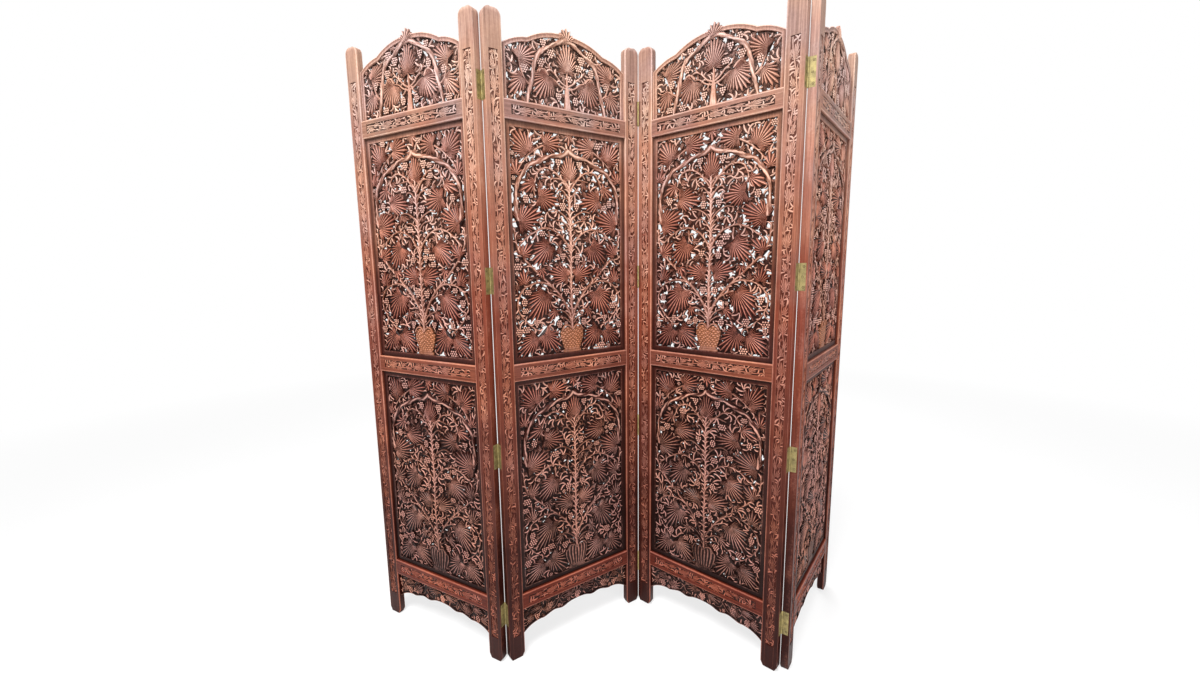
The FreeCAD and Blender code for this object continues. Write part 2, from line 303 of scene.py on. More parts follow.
def fronds(carving, ground, rng, path, every, length, top, paired=False):
    """Leaflets that curl away from both sides of a stem."""
    places = np.asarray(path, float)
    run = np.concatenate([[0], np.cumsum(np.hypot(*np.diff(places, axis=0).T))])
    for number, along in enumerate(np.arange(every, run[-1] - every / 2, every)):
        root = np.array([np.interp(along, run, places[:, axis]) for axis in (0, 1)])
        ahead = np.array([np.interp(along + 0.002, run, places[:, axis]) for axis in (0, 1)]) - root
        way = math.atan2(ahead[1], ahead[0])
        for side in (1, -1) if paired else (1 - 2 * (number % 2),):
            grown = length * rng.uniform(0.8, 1.15)
            lean = way + side * rng.uniform(0.25, 0.55)
            line = leaflet(carving, root, lean, grown, 0.0029, top - rng.uniform(0, 0.0008),
                           side * rng.uniform(1.1, 2.2))
            ground.cover_path(line, 0.0022)


def ball(carving, middle, radius, top):
    """A small ball, such as a grape or a bud."""
    turn = all_round(7)
    lean = np.linspace(0.3, math.pi - 0.3, 4)
    across = middle[0] + radius * np.sin(lean)[:, None] * np.cos(turn)
    up = middle[1] + radius * np.sin(lean)[:, None] * np.sin(turn)
    height = np.broadcast_to(top - radius + radius * np.cos(lean)[:, None], across.shape)
    # The front of each ball is set brightest, as a painted highlight, and its sides dark as painted shade.
    worn = np.broadcast_to(np.clip(np.cos(lean), 0, 1)[:, None] * 1.25, across.shape)
    carving.loft(np.dstack([across, up, height]), worn, 0.4)


def disc(carving, middle, half_width, half_height, top, depth):
    """The wood that stands behind a bunch of grapes."""
    turn = all_round(14)
    ring = np.column_stack([middle[0] + half_width * np.cos(turn), middle[1] + half_height * np.sin(turn)])
    rings = [np.column_stack([ring, np.full(len(turn), height)]) for height in (top, -depth)]
    # It is set fully dark, as painted shade behind the grapes.
    carving.loft(rings, 0.0)


def grapes(carving, middle, rows, top, radius=0.0032, depth=board_thickness):
    """A bunch of grapes in rows, with its wood behind."""
    disc(carving, middle, max(rows) * radius * 0.9, len(rows) * radius * 0.85, top - 1.4 * radius, depth)
    for line, number in enumerate(rows):
        up = middle[1] + radius * 1.75 * ((len(rows) - 1) / 2 - line)
        for place in range(number):
            across = middle[0] + radius * 2.0 * (place - (number - 1) / 2)
            ball(carving, (across, up), radius, top + 0.0004 * (place % 2))


def curl(carving, root, heading, size, top, turning=1, depth=board_thickness):
    """A tendril that coils in on itself and ends in a bud."""
    turn = np.linspace(0, 4.4, 12)
    shrink = 1 - 0.45 * turn / turn[-1]
    start = heading - turning * math.pi / 2
    centre = np.asarray(root) - size * np.array([math.cos(start), math.sin(start)])
    path = centre + size * shrink[:, None] * np.column_stack([np.cos(start + turning * turn),
                                                              np.sin(start + turning * turn)])
    stem(carving, path, 0.0017, top, taper=0.8, depth=depth, sides=7, tan=0.6)
    ball(carving, path[-1], 0.0026, top + 0.0004)
    return path


# Free ground between the shapes of a carving

class Ground:
    """Where wood already stands on a board, in small square cells."""

    def __init__(self, low, high, inside=None, cell=0.002):
        self.cell = cell
        self.x = np.arange(low[0], high[0] + cell, cell)
        self.z = np.arange(low[1], high[1] + cell, cell)
        self.taken = np.zeros((len(self.z), len(self.x)), bool)
        if inside is not None:
            self.taken[:] = True
            self.cover(inside, False)

    def window(self, places, reach=0.0):
        """The cells in the box round some places, and where they are."""
        low, high = np.min(places, 0) - reach, np.max(places, 0) + reach
        rows = (self.z >= low[1]) & (self.z <= high[1])
        columns = (self.x >= low[0]) & (self.x <= high[0])
        return np.ix_(rows, columns), *np.meshgrid(self.x[columns], self.z[rows])

    def cover(self, outline, taken=True):
        """Mark the cells inside an outline."""
        window, x, z = self.window(outline)
        odd = np.zeros(x.shape, bool)
        for (x0, z0), (x1, z1) in zip(outline, np.roll(outline, -1, 0)):
            if z0 != z1:
                crossing = ((z0 > z) != (z1 > z)) & (x < (x1 - x0) * (z - z0) / (z1 - z0) + x0)
                odd ^= crossing
        part = self.taken[window]
        part[odd] = taken
        self.taken[window] = part

    def cover_path(self, path, radius):
        """Mark the cells along a path."""
        window, x, z = self.window(path, radius)
        part = self.taken[window]
        for place in path:
            part |= np.hypot(x - place[0], z - place[1]) <= radius
        self.taken[window] = part

    def gaps(self, reach):
        """Middles of the free squares whose half side is at least this reach."""
        span = int(round(reach / self.cell))
        sums = np.pad(self.taken, ((1, 0), (1, 0))).astype(np.int32).cumsum(0).cumsum(1)
        side = 2 * span + 1
        full = sums[side:, side:] - sums[:-side, side:] - sums[side:, :-side] + sums[:-side, :-side]
        return np.argwhere(full == 0) + span

    def nearest(self, row, column, reach):
        """The way to the nearest wood from a free cell, and how far it is."""
        span = int(round(2.2 * reach / self.cell))
        rows = slice(max(0, row - span), row + span + 1)
        columns = slice(max(0, column - span), column + span + 1)
        found = np.argwhere(self.taken[rows, columns])
        if not len(found):
            return 0.0, reach
        offset = found + (rows.start, columns.start) - (row, column)
        far = np.hypot(*offset.T)
        down, across = offset[far.argmin()]
        return math.atan2(down, across), far.min() * self.cell


# How far free ground reaches from its middle before a leaf, a bunch or tendril, two leaflets and a
# full bunch find room in it; and up to which draw it is a tendril, a bunch or a leaf

leaf_reach = 0.0040
bunch_reach = 0.0055
pair_reach = 0.0065
full_bunch_reach = 0.0075
tendril_draw = 0.12
bunch_draw = 0.26
leaf_draw = 0.42


def fill(carving, ground, rng, top, reaches, open_share, slender=1.0, depth=board_thickness, hollow=0.05):
    """Grow leaflets, bunches and tendrils into the free ground, each from the wood nearest to it."""
    for reach in reaches:
        span = int(round(reach / ground.cell))
        free = ground.gaps(reach)
        rng.shuffle(free)
        for row, column in free:
            if ground.taken[row - span:row + span + 1, column - span:column + span + 1].any():
                continue
            middle = np.array([ground.x[column], ground.z[row]])
            if reach < bunch_reach and rng.random() < open_share:
                ground.cover_path([middle], reach)
                continue
            back_way, far = ground.nearest(row, column, reach)
            way = back_way + math.pi + rng.uniform(-0.5, 0.5)
            heading = np.array([math.cos(way), math.sin(way)])
            root = middle - heading * (far + 0.0016)
            low = top - rng.uniform(0.0, 0.0014)
            back = depth - rng.uniform(0.0, 0.0004)
            turning = rng.choice((-1.0, 1.0))
            kind = rng.random()
            if kind < tendril_draw and reach > bunch_reach:
                path = curl(carving, middle - heading * far, way, reach * 0.75, low, turning, depth=back)
                ground.cover_path(path, 0.0026)
            elif kind < bunch_draw and reach > bunch_reach:
                rows = [3, 4, 3] if reach > full_bunch_reach else [2, 3, 2]
                grapes(carving, middle, rows, low + 0.0010, reach * 0.36, back)
                ground.cover_path([middle], reach * 1.05)
            elif kind < leaf_draw and reach > leaf_reach:
                tip = middle + heading * reach * rng.uniform(1.0, 1.5) * slender
                edge = leaf(carving, root, tip, reach * rng.uniform(1.8, 2.4), low, 7, half_fan=1.5,
                            crown=min(0.0016, depth * 0.4), back=False, depth=back, tan=0.1, hollow=hollow,
                            wear_and_sheen=0.9, cut=min(0.0018, depth * 0.4))
                ground.cover(edge)
            else:
                size = min(0.0034, max(0.0020, reach * 0.48))
                length = (far + reach * rng.uniform(1.1, 1.8)) * slender
                for lean in (-0.55, 0.45) if reach > pair_reach else (0.0,):
                    bend = turning * rng.uniform(0.8, 2.0)
                    path = leaflet(carving, root, way + lean, length, size, low, bend, back, hollow)
                    ground.cover_path(path, size * 0.85)
            ground.cover_path([middle], ground.cell)


def undergrowth(carving, ground, rng, top, open_share, wear_and_sheen):
    """Lower foliage behind the ground that is still free, with some of it left open to the light."""
    free = np.argwhere(~ground.taken)
    rng.shuffle(free)
    columns = 12
    for row, column in free:
        if ground.taken[row, column]:
            continue
        middle = np.array([ground.x[column], ground.z[row]])
        if rng.random() < open_share:
            ground.cover_path([middle], rng.uniform(0.0022, 0.0048))
            continue
        turn = rng.uniform(0, math.pi) + all_round(columns)
        ridge = np.tile([1.0, 0.0], columns // 2)
        reach = rng.uniform(0.0075, 0.0115) * (0.74 + 0.26 * ridge)
        star = np.column_stack([np.cos(turn), np.sin(turn)]) * reach[:, None]
        low = top - rng.uniform(0.0, 0.0014)
        heights = (low, low - 0.0012 - 0.0012 * (1 - ridge), -board_thickness)
        rings = [np.column_stack([middle + star * share, np.broadcast_to(height, columns)])
                 for share, height in zip((0.2, 1.0, 1.0), heights)]
        # The deep layer is set dark, with only faintly pale tops, as painted shade among the carving.
        worn = np.stack([wear_and_sheen * (0.2 + 0.8 * ridge), wear_and_sheen * ridge, 0 * ridge])
        carving.loft(rings, worn, 0.3)
        ground.cover(middle + star)


# The tree of the jali, right half; x from the trunk, z from the foot of the sight opening

jali_leaves = [
    # root x and z, tip x and z, width, fingers
    (0.131, 0.579, 0.171, 0.634, 0.066, 21),
    (0.082, 0.609, 0.020, 0.617, 0.056, 19),
    (0.172, 0.520, 0.164, 0.562, 0.032, 9),
    (0.104, 0.464, 0.034, 0.450, 0.058, 19),
    (0.116, 0.502, 0.164, 0.477, 0.034, 9),
    (0.166, 0.391, 0.091, 0.423, 0.070, 21),
    (0.072, 0.334, 0.124, 0.277, 0.064, 21),
    (0.013, 0.243, 0.077, 0.262, 0.052, 19),
    (0.087, 0.195, 0.138, 0.116, 0.072, 21),
    (0.054, 0.144, 0.073, 0.110, 0.027, 9),
    (0.094, 0.078, 0.040, 0.022, 0.062, 19),
    (0.123, 0.073, 0.179, 0.018, 0.056, 19),
    (0.162, 0.302, 0.127, 0.336, 0.040, 13),
    (0.156, 0.222, 0.158, 0.266, 0.040, 13),
    (0.100, 0.264, 0.092, 0.232, 0.026, 7),
]
apex_leaf = (0.0, 0.516, 0.0, 0.591, 0.058, 21)
top_bud = (0.0, 0.640, 0.0, 0.611, 0.026, 7)
jali_trunk = [(0.0, 0.084), (0.001, 0.124), (-0.001, 0.22), (0.001, 0.33), (0.0, 0.43), (0.0, 0.522)]
jali_arch = [(0.0, 0.598), (0.011, 0.588), (0.028, 0.582), (0.058, 0.578), (0.080, 0.568), (0.104, 0.557),
             (0.128, 0.547), (0.146, 0.527), (0.163, 0.503), (0.172, 0.470), (0.172, 0.430), (0.168, 0.396)]
jali_stems = [
    # radius, then places
    (0.0030, [(0.083, 0.604), (0.110, 0.588), (0.132, 0.571), (0.154, 0.545), (0.168, 0.520)]),
    (0.0033, [(0.000, 0.484), (0.021, 0.511), (0.040, 0.530), (0.057, 0.541), (0.079, 0.544),
              (0.098, 0.534), (0.109, 0.512), (0.116, 0.486), (0.112, 0.466)]),
    (0.0026, [(0.002, 0.498), (0.013, 0.512), (0.036, 0.519), (0.066, 0.515)]),
    (0.0027, [(0.000, 0.456), (0.012, 0.476), (0.022, 0.487), (0.036, 0.488), (0.041, 0.480)]),
    (0.0028, [(0.000, 0.388), (0.011, 0.408), (0.029, 0.423), (0.051, 0.431), (0.070, 0.427)]),
    (0.0025, [(0.000, 0.370), (0.012, 0.390), (0.028, 0.401), (0.046, 0.402)]),
    (0.0036, [(0.000, 0.312), (0.012, 0.336), (0.033, 0.360), (0.058, 0.374), (0.084, 0.379),
              (0.112, 0.371), (0.141, 0.352), (0.166, 0.330)]),
    (0.0026, [(0.000, 0.280), (0.013, 0.298), (0.026, 0.302), (0.034, 0.296)]),
    (0.0030, [(0.072, 0.372), (0.070, 0.352), (0.072, 0.334)]),
    (0.0048, [(0.000, 0.108), (0.010, 0.140), (0.023, 0.163), (0.046, 0.194), (0.071, 0.219),
              (0.108, 0.252), (0.141, 0.282), (0.164, 0.308), (0.177, 0.340), (0.179, 0.380)]),
    (0.0033, [(0.066, 0.214), (0.088, 0.224), (0.106, 0.226), (0.131, 0.222), (0.156, 0.210),
              (0.173, 0.187), (0.178, 0.164), (0.171, 0.142), (0.151, 0.115), (0.128, 0.096),
              (0.106, 0.084)]),
    (0.0030, [(0.034, 0.178), (0.052, 0.188), (0.070, 0.195), (0.088, 0.195)]),
    (0.0027, [(0.002, 0.106), (0.010, 0.122), (0.026, 0.137), (0.046, 0.144), (0.058, 0.142)]),
    (0.0024, [(0.002, 0.100), (0.011, 0.110), (0.026, 0.120), (0.042, 0.122)]),
    (0.0026, [(0.000, 0.226), (0.006, 0.238), (0.014, 0.243)]),
    (0.0026, [(0.119, 0.093), (0.124, 0.082), (0.126, 0.070)]),
]
jali_grapes = [(0.024, 0.440), (0.140, 0.458), (0.026, 0.298), (0.019, 0.196), (0.043, 0.104),
               (0.174, 0.085), (0.118, 0.108), (0.158, 0.172), (0.036, 0.560)]
vase_width = 0.080
vase_foot = 0.029
vase_lip = 0.095
weave_rows = 10
weave_turns = 19
flute_turns = 11


def vase(carving, top, woven):
    """The vase at the tree's foot: heart-shaped lip, swelling body, stepped foot."""
    columns = 57
    rows = 66
    s = np.linspace(-1, 1, columns)
    t = np.linspace(0, 1, rows)[:, None]
    swell = np.interp(t, [0, 0.12, 0.55, 0.80, 0.93, 1], [0.70, 0.76, 0.97, 1.0, 0.93, 0.80])
    half = vase_width / 2 * swell
    lip = vase_lip - 0.014 * np.exp(-(s / 0.34) ** 2) - 0.010 * np.abs(s) ** 4
    across = half * s
    up = vase_foot + t * (lip - vase_foot)
    bulge = 0.0052 * np.sqrt(np.clip(1 - s ** 2 * 0.96, 0, 1)) * (0.72 + 0.28 * np.sin(math.pi * t))
    # Raised strands and flutes are set pale as wear and painted highlight, the cuts between them darker as
    # painted shade.
    if woven:
        row = t * weave_rows
        strand = np.sin(math.pi * (row % 1))
        strand = strand * (0.60 + 0.40 * np.cos(s * weave_turns + math.pi * np.floor(row)))
        cut = 0.0014 * (strand - 0.5)
        wear = 0.15 + 0.65 * strand
    else:
        flute = np.abs(np.sin(s * flute_turns + 0 * t))
        cut = 0.0017 * (flute - 0.6)
        wear = 0.06 + 0.66 * flute
    edge = np.minimum(1, 9 * (1 - np.abs(s))) * np.minimum(1, 12 * t) * np.minimum(1, 12 * (1 - t))
    height = top - 0.004 + bulge + cut * edge
    face = np.dstack([across, up, np.broadcast_to(height, across.shape)])
    rear = face[:, ::-columns + 1].copy()
    rear[..., 2] = -board_thickness
    rings = np.concatenate([face, rear], 1)
    wear = np.broadcast_to(np.clip(wear, 0, 1), across.shape)
    worn = np.concatenate([wear, np.zeros((rows, 2))], 1)
    carving.loft(rings, worn, 1.6 if woven else 0.3)
    for low, high, wide, out in ((0.0155, 0.0235, 0.031, 0.0), (0.0225, 0.0300, 0.0265, 0.0012)):
        foot = rounded_block(wide, low, high, top - 0.0015 + out)
        carving.loft(*foot, 1.1 if woven else 0.4)
    lip_line = curve([(-0.036, 0.083), (-0.027, 0.0955), (-0.013, 0.0965), (0.0, 0.084)], 0.003)
    for side in (lip_line, lip_line * (-1, 1)):
        stem(carving, side, 0.0030, top + 0.0026, sides=9, tan=1.1 if woven else 0.4)


def rounded_block(half_width, low, high, top):
    """A small moulding across the board with a soft front edge."""
    soft = 0.0015
    profile = [(low, -board_thickness), (low, top - soft), (low + soft, top), (high - soft, top),
               (high, top - soft), (high, -board_thickness)]
    rings = [[(x, z, height) for z, height in profile]
             for x in (-half_width, -half_width + soft, half_width - soft, half_width)]
    rings[0] = [(x, z, min(height, top - soft)) for x, z, height in rings[0]]
    rings[-1] = [(x, z, min(height, top - soft)) for x, z, height in rings[-1]]
    # Its front is set pale as wear and painted highlight, its sides dark as painted shade.
    return rings, np.array([0.1, 0.4, 0.6, 0.6, 0.4, 0.1])


def margin(carving):
    """The plain margin round a jali's pierced field; its outer part sits in the grooves."""
    soft = 0.0009
    width = margin_width
    corners = [(-1, 0, 1), (1, 0, 1), (1, opening_height, -1), (-1, opening_height, -1)]
    profile = [(-board_reach, -board_thickness), (-board_reach, -0.0004), (-0.0002, -0.0004),
               (width * 0.5, 0.0), (width - soft, 0.0), (width, -soft), (width, -board_thickness)]
    rings = [[(side * (opening_half - inset), z + up * inset, height) for inset, height in profile]
             for side, z, up in corners]
    # The part by the frame is set dark as painted shade, the soft edge at the field pale as wear and
    # painted highlight.
    carving.loft(rings, np.array([0, 0.1, 0.15, 0.3, 0.6, 0.5, 0]), 0.3, closed=True)


def jittered(rng, place, spread=0.0018):
    """A place moved a little by chance."""
    return np.asarray(place) + rng.uniform(-spread, spread, 2)


def grow(carving, ground, rng, leaves, stems, bunches, top):
    """Carve leaves, stems and bunches on both sides of the middle, no two quite alike."""
    for side in (1, -1):
        for radius, places in stems:
            path = curve([jittered(rng, (side * x, z), 0.0011) for x, z in places], 0.006)
            stem(carving, path, radius * 1.15, top - rng.uniform(0, 0.0006), taper=0.7, knots=0.05, sides=8,
                 tan=0.7)
            ground.cover_path(path, radius)
            if radius > 0.0029:
                fronds(carving, ground, rng, path, every=0.019, length=0.021, top=top)
        for root_x, root_z, tip_x, tip_z, width, fingers in leaves:
            root = jittered(rng, (side * root_x, root_z))
            tip = jittered(rng, (side * tip_x, tip_z), 0.003)
            edge = leaf(carving, root, tip, width * rng.uniform(1.06, 1.18),
                        top + rng.uniform(0.0012, 0.0024), fingers, rise=rng.uniform(-0.004, 0.001))
            ground.cover(edge)
        for x, z in bunches:
            middle = jittered(rng, (side * x, z), 0.002)
            rows = ([3, 4, 3, 2], [2, 3, 3, 2], [3, 3, 2, 1])[rng.integers(3)]
            grapes(carving, middle, rows, top + 0.0004)
            ground.cover_path([middle], 0.0115)


def set_leaf(carving, ground, row, top):
    """One leaf on the middle line, from its row of a table."""
    root_x, root_z, tip_x, tip_z, width, fingers = row
    ground.cover(leaf(carving, (root_x, root_z), (tip_x, tip_z), width, top, fingers))


def arch(carving, ground, rng, places, spread, radius, cleared, top, taper, knots):
    """The gnarled vine that arches over a tree from either side."""
    for side in (1, -1):
        vine = curve([jittered(rng, (side * x, z), spread) for x, z in places])
        stem(carving, vine, radius, top, taper, knots, sides=14, tan=0.5)
        ground.cover_path(vine, cleared)


def jali(foot, seed, woven):
    """A pierced board: a vase with a tree of vine leaves under a gnarled ogee vine."""
    rng = np.random.default_rng(seed)
    carving = Carving(board_recess)
    field_half = opening_half - margin_width
    ground = Ground((-field_half, margin_width), (field_half, opening_height - margin_width))
    margin(carving)
    top = 0.0012
    vase(carving, top + 0.0006, woven)
    ground.cover(np.array([(-0.031, 0.0), (0.031, 0.0), (0.031, 0.03), (0.040, 0.075), (0.030, 0.098),
                           (0.0, 0.084), (-0.030, 0.098), (-0.040, 0.075), (-0.031, 0.03)]))
    trunk = curve([jittered(rng, place, 0.0008) for place in jali_trunk])
    stem(carving, trunk, 0.0070, top + 0.0010, taper=0.62, knots=0.08, sides=14, tan=0.6)
    ground.cover_path(trunk, 0.0062)
    arch(carving, ground, rng, jali_arch, spread=0.0012, radius=0.0072, cleared=0.0066,
         top=top + arch_rise, taper=0.85, knots=0.19)
    set_leaf(carving, ground, apex_leaf, top + 0.0010)
    set_leaf(carving, ground, top_bud, top + 0.0010)
    grow(carving, ground, rng, jali_leaves, jali_stems, jali_grapes, top)
    fronds(carving, ground, rng, trunk, every=0.0155, length=0.026, top=top + 0.0012, paired=True)
    reaches = (0.010, 0.008, 0.006, 0.0045, 0.0035)
    fill(carving, ground, rng, top - fill_drop, reaches, open_share=0.10)
    open_share, wear_and_sheen = (0.72, 0.20) if woven else (0.32, 0.06)
    undergrowth(carving, ground, rng, top - undergrowth_drop, open_share, wear_and_sheen)
    lift(carving, foot)
    return carving


def lift(carving, height):
    """Raise a finished carving to its place on the panel."""
    for part in carving.points:
        part[:, 1] += height


# Stiles and rails

def running_vine(carving, low, high, seed):
    """The vine of a band: a waving stem with fingered leaves, and leaflets over the rest."""
    rng = np.random.default_rng(seed)
    low, high = np.array(low), np.array(high)
    upright = high[1] - low[1] > high[0] - low[0]
    middle = (low + high) / 2
    start, end = (low[1], high[1]) if upright else (low[0], high[0])

    def lay(along, across):
        return (middle[0] + across, along) if upright else (along, middle[1] + across)

    ground = Ground(low + 0.0005, high - 0.0005, cell=0.001)
    depth = band_depth + 0.0004
    bow = vine_period / 2
    along = np.linspace(start + 0.003, end - 0.003, int((end - start) / 0.006))
    turn = rng.uniform(0, math.pi)
    path = np.array([lay(a, vine_sway * math.sin((a - start) / bow * math.pi + turn)) for a in along])
    stem(carving, path, vine_radius, -0.0001, depth=depth, sides=8, knots=0.03, tan=0.5)
    ground.cover_path(path, 0.0014)
    shapes = [
        # root along and across, tip along and across, width, fingers
        (0.004, 0.001, 0.050, -0.0070, 0.0180, 9),
        (0.056, 0.0000, 0.086, -0.0080, 0.0150, 7),
        (0.030, 0.0085, 0.008, 0.0100, 0.0080, 5),
        (0.040, 0.0095, 0.066, 0.0112, 0.0055, 3),
        (0.078, 0.0035, 0.108, 0.0085, 0.0120, 7),
    ]
    for number in range(int((end - start) / bow) + 2):
        base = start + (number - turn / math.pi) * bow
        side = 1 if number % 2 == 0 else -1
        for root_a, root_t, tip_a, tip_t, width, fingers in shapes:
            wander = rng.uniform(-0.002, 0.002, 2)
            first = base + root_a + wander[0]
            last = base + tip_a + wander.sum()
            if min(first, last) < start + 0.002 or max(first, last) > end - 0.002:
                continue
            root = lay(first, side * root_t)
            tip = lay(last, side * tip_t)
            ground.cover(leaf(carving, root, tip, width * rng.uniform(0.92, 1.08), 0.0, fingers,
                              half_fan=1.6, crown=0.0004, back=False, depth=depth, tan=0.3, hollow=0.2,
                              cut=0.0010))
    reaches = (0.0055, 0.0040, 0.0030)
    fill(carving, ground, rng, 0.0, reaches, open_share=0.0, slender=1.5, depth=depth, hollow=0.3)


def turned(points):
    """The same stretch of a cross-section on its other side, in the opposite order."""
    return [(-x, depth, wear) for x, depth, wear in reversed(points)]


def banded_profile(half, sunk):
    """Cross-section of a stile or rail from its front face round to its back: place, depth and wear."""
    soft = arris
    lip = band_half_width
    low = band_depth * sunk
    thickness = frame_thickness
    # The band's sunken floor is set dark as painted shade; its lips, soft corners and edges pale as wear
    # and painted highlight.
    front = [(lip - 0.0025, low, plain_wear_and_shade * (1 - sunk)), (lip - 0.0003, low, plain_wear_and_shade),
             (lip, 0, lip_wear_and_sheen), (lip + 0.001, 0, plain_wear_and_shade), (half - 2 * soft, 0, plain_wear_and_shade),
             (half - soft, 0, corner_wear_and_sheen)]
    edge = [(half - 0.3 * soft, 0.3 * soft, 0.85), (half, soft, 0.7), (half, 2 * soft, plain_wear_and_shade),
            (half, thickness - 2 * soft, plain_wear_and_shade), (half, thickness - soft, lip_wear_and_sheen),
            (half - soft, thickness, corner_wear_and_sheen)]
    return turned(front) + front + edge + turned(edge)


def keen_edge(profile, side, half):
    """Draw the soft corners of one edge in to keen ones, so that hinged stiles stand close."""
    share = keen_arris / arris
    changed = []
    for x, depth, wear in profile:
        if x * side >= half - 2 * arris:
            x = side * (half - share * (half - x * side))
            if depth < frame_thickness / 2:
                depth = share * depth
            else:
                depth = frame_thickness - share * (frame_thickness - depth)
        changed.append((x, depth, wear))
    return changed


def gained(profile, side, on_back, half):
    """Sink the hinge's seat into one edge of a cross-section, deeper at the barrel's corner."""
    corner = barrel_reach - barrel_setoff
    changed = []
    for x, depth, wear in profile:
        deep = frame_thickness - depth if on_back else depth
        for across, reach in ((leaf_thickness, hinge_leaf_width), (barrel_reach - hinge_gap / 2, corner)):
            if deep <= reach and x * side > half - across:
                x = side * (half - across)
                # The hinge's seat is set fully dark, as painted shade under the leaf.
                wear = 0.0
        changed.append((x, depth, wear))
    return changed


def with_seat_edge(profile, side, on_back, half):
    """Two more points on a cross-section where the hinge's seat ends, the same in every ring."""
    limit = frame_thickness - hinge_leaf_width if on_back else hinge_leaf_width
    added = [(side * half, limit - 0.00002, 0.5), (side * half, limit + 0.00002, 0.5)]
    order = added if side > 0 else added[::-1]
    place = max(i for i, (x, depth, _) in enumerate(profile)
                if x * side == half and (depth < limit if side > 0 else depth > limit))
    return profile[:place + 1] + order + profile[place + 1:]


def stile_ring(profile, middle, z, narrow, inset):
    """A level ring round a stile, narrower at its tapered foot."""
    half = stile_width / 2
    return [(middle + x * narrow / half, z, -min(max(depth, inset), frame_thickness - inset))
            for x, depth, _ in profile]


def head_ring(profile, middle, turn, inset):
    """A ring round a stile's rounded head; its front edge stays softened all the way round."""
    half = stile_width / 2
    core = half - stile_head_radius
    ring = []
    for x, depth, _ in profile:
        back = min(half - abs(x), arris)
        reach = stile_head_radius - back
        across = x * (core + reach * math.cos(turn)) / (half - back)
        up = stile_height - stile_head_radius + reach * math.sin(turn)
        if inset:
            up = stile_height
            depth = min(max(depth, inset), frame_thickness - inset)
        ring.append((middle + across, up, -depth))
    return ring


def stile(middle, gain_side, on_back, seed):
    """A stile with rounded head, tapered foot, sunken band with its vine, and the hinges' seats."""
    carving = Carving(0)
    half = stile_width / 2
    band_head = stile_height - band_head_drop
    step = 0.0003

    def section(sunk):
        profile = banded_profile(half, sunk)
        if gain_side:
            profile = with_seat_edge(keen_edge(profile, gain_side, half), gain_side, on_back, half)
        return profile

    seats = []
    if gain_side:
        seats = [(height - leaf_length / 2, height + leaf_length / 2) for height in hinge_heights]
    stops = [0.0, 0.0012, foot_chamfer_height, band_foot, band_foot + step, band_head - step, band_head]
    for seat in seats:
        stops += [edge + shift for edge in seat for shift in (-step / 4, step / 4)]
    stops += np.arange(0.13, band_head, ring_spacing).tolist()
    rings = []
    worn = []
    for z in sorted(stops):
        profile = section(band_foot < z - step / 2 < band_head - step)
        if any(low < z < high for low, high in seats):
            profile = gained(profile, gain_side, on_back, half)
        taper = max(0.0, 1 - z / foot_chamfer_height)
        rings.append(stile_ring(profile, middle, z, half - foot_chamfer_width * taper, 0.0012 * (z == 0)))
        worn.append([wear for _, _, wear in profile])
    profile = section(False)
    head = [(turn, 0) for turn in np.linspace(0, math.pi / 2, 9)]
    for turn, inset in head + [(math.pi / 2, arris)]:
        rings.append(head_ring(profile, middle, turn, inset))
        # The rounded head is set pale as wear and painted highlight.
        worn.append([max(wear, corner_wear_and_sheen * math.sin(turn)) for _, _, wear in profile])
    carving.loft(rings, np.array(worn), 0.5)
    low, high = middle - band_half_width, middle + band_half_width
    running_vine(carving, (low, band_foot), (high, band_head), seed)
    return carving


def rail(base, seed):
    """A rail with a sunken band and its vine; its ends meet the stiles."""
    carving = Carving(0)
    half = (rail_tops[0] - rail_bases[0]) / 2
    middle = base + half
    band_end = band_end_share * opening_half
    reach = opening_half + 0.0004
    stops = [-reach, -band_end, -band_end + 0.0003, band_end - 0.0003, band_end, reach]
    rings = []
    worn = []
    for x in stops:
        profile = banded_profile(half, abs(x) < band_end - 0.0002)
        rings.append([(x, middle + z, -depth) for z, depth, _ in profile])
        worn.append([wear for _, _, wear in profile])
    carving.loft(rings, np.array(worn), 0.5)
    low, high = middle - band_half_width, middle + band_half_width
    running_vine(carving, (-band_end, low), (band_end, high), seed)
    return carving


# Crest and apron

def crest_edge():
    """The crest's top edge from its right lip to the finial, without the finial's own leaf."""
    rise = crest_height - crest_shoulder_height
    shares = [(1.0, 0.0), (0.80, 0.36), (0.62, 0.50), (0.46, 0.76)]
    lip, lobe, step, swell = [(across * opening_half, crest_shoulder_height + up * rise)
                              for across, up in shares]
    neck = (finial_half_width, crest_height)
    return arc(lip, lobe, step) + arc(step, swell, neck)[1:] + [(0.0, crest_height + 0.003)]


def arc(start, middle, end, steps=10):
    """Points of the circular arc through three places."""
    ax, az = start
    bx, bz = middle
    cx, cz = end
    twice = 2 * (ax * (bz - cz) + bx * (cz - az) + cx * (az - bz))
    squares = [x * x + z * z for x, z in (start, middle, end)]
    x = (squares[0] * (bz - cz) + squares[1] * (cz - az) + squares[2] * (az - bz)) / twice
    z = (squares[0] * (cx - bx) + squares[1] * (ax - cx) + squares[2] * (bx - ax)) / twice
    radius = math.hypot(ax - x, az - z)
    first, between, last = (math.atan2(pz - z, px - x) for px, pz in (start, middle, end))
    turn = (last - first) % (2 * math.pi)
    if (between - first) % (2 * math.pi) > turn:
        turn -= 2 * math.pi
    turns = [first + turn * i / steps for i in range(steps + 1)]
    return [(x + radius * math.cos(angle), z + radius * math.sin(angle)) for angle in turns]


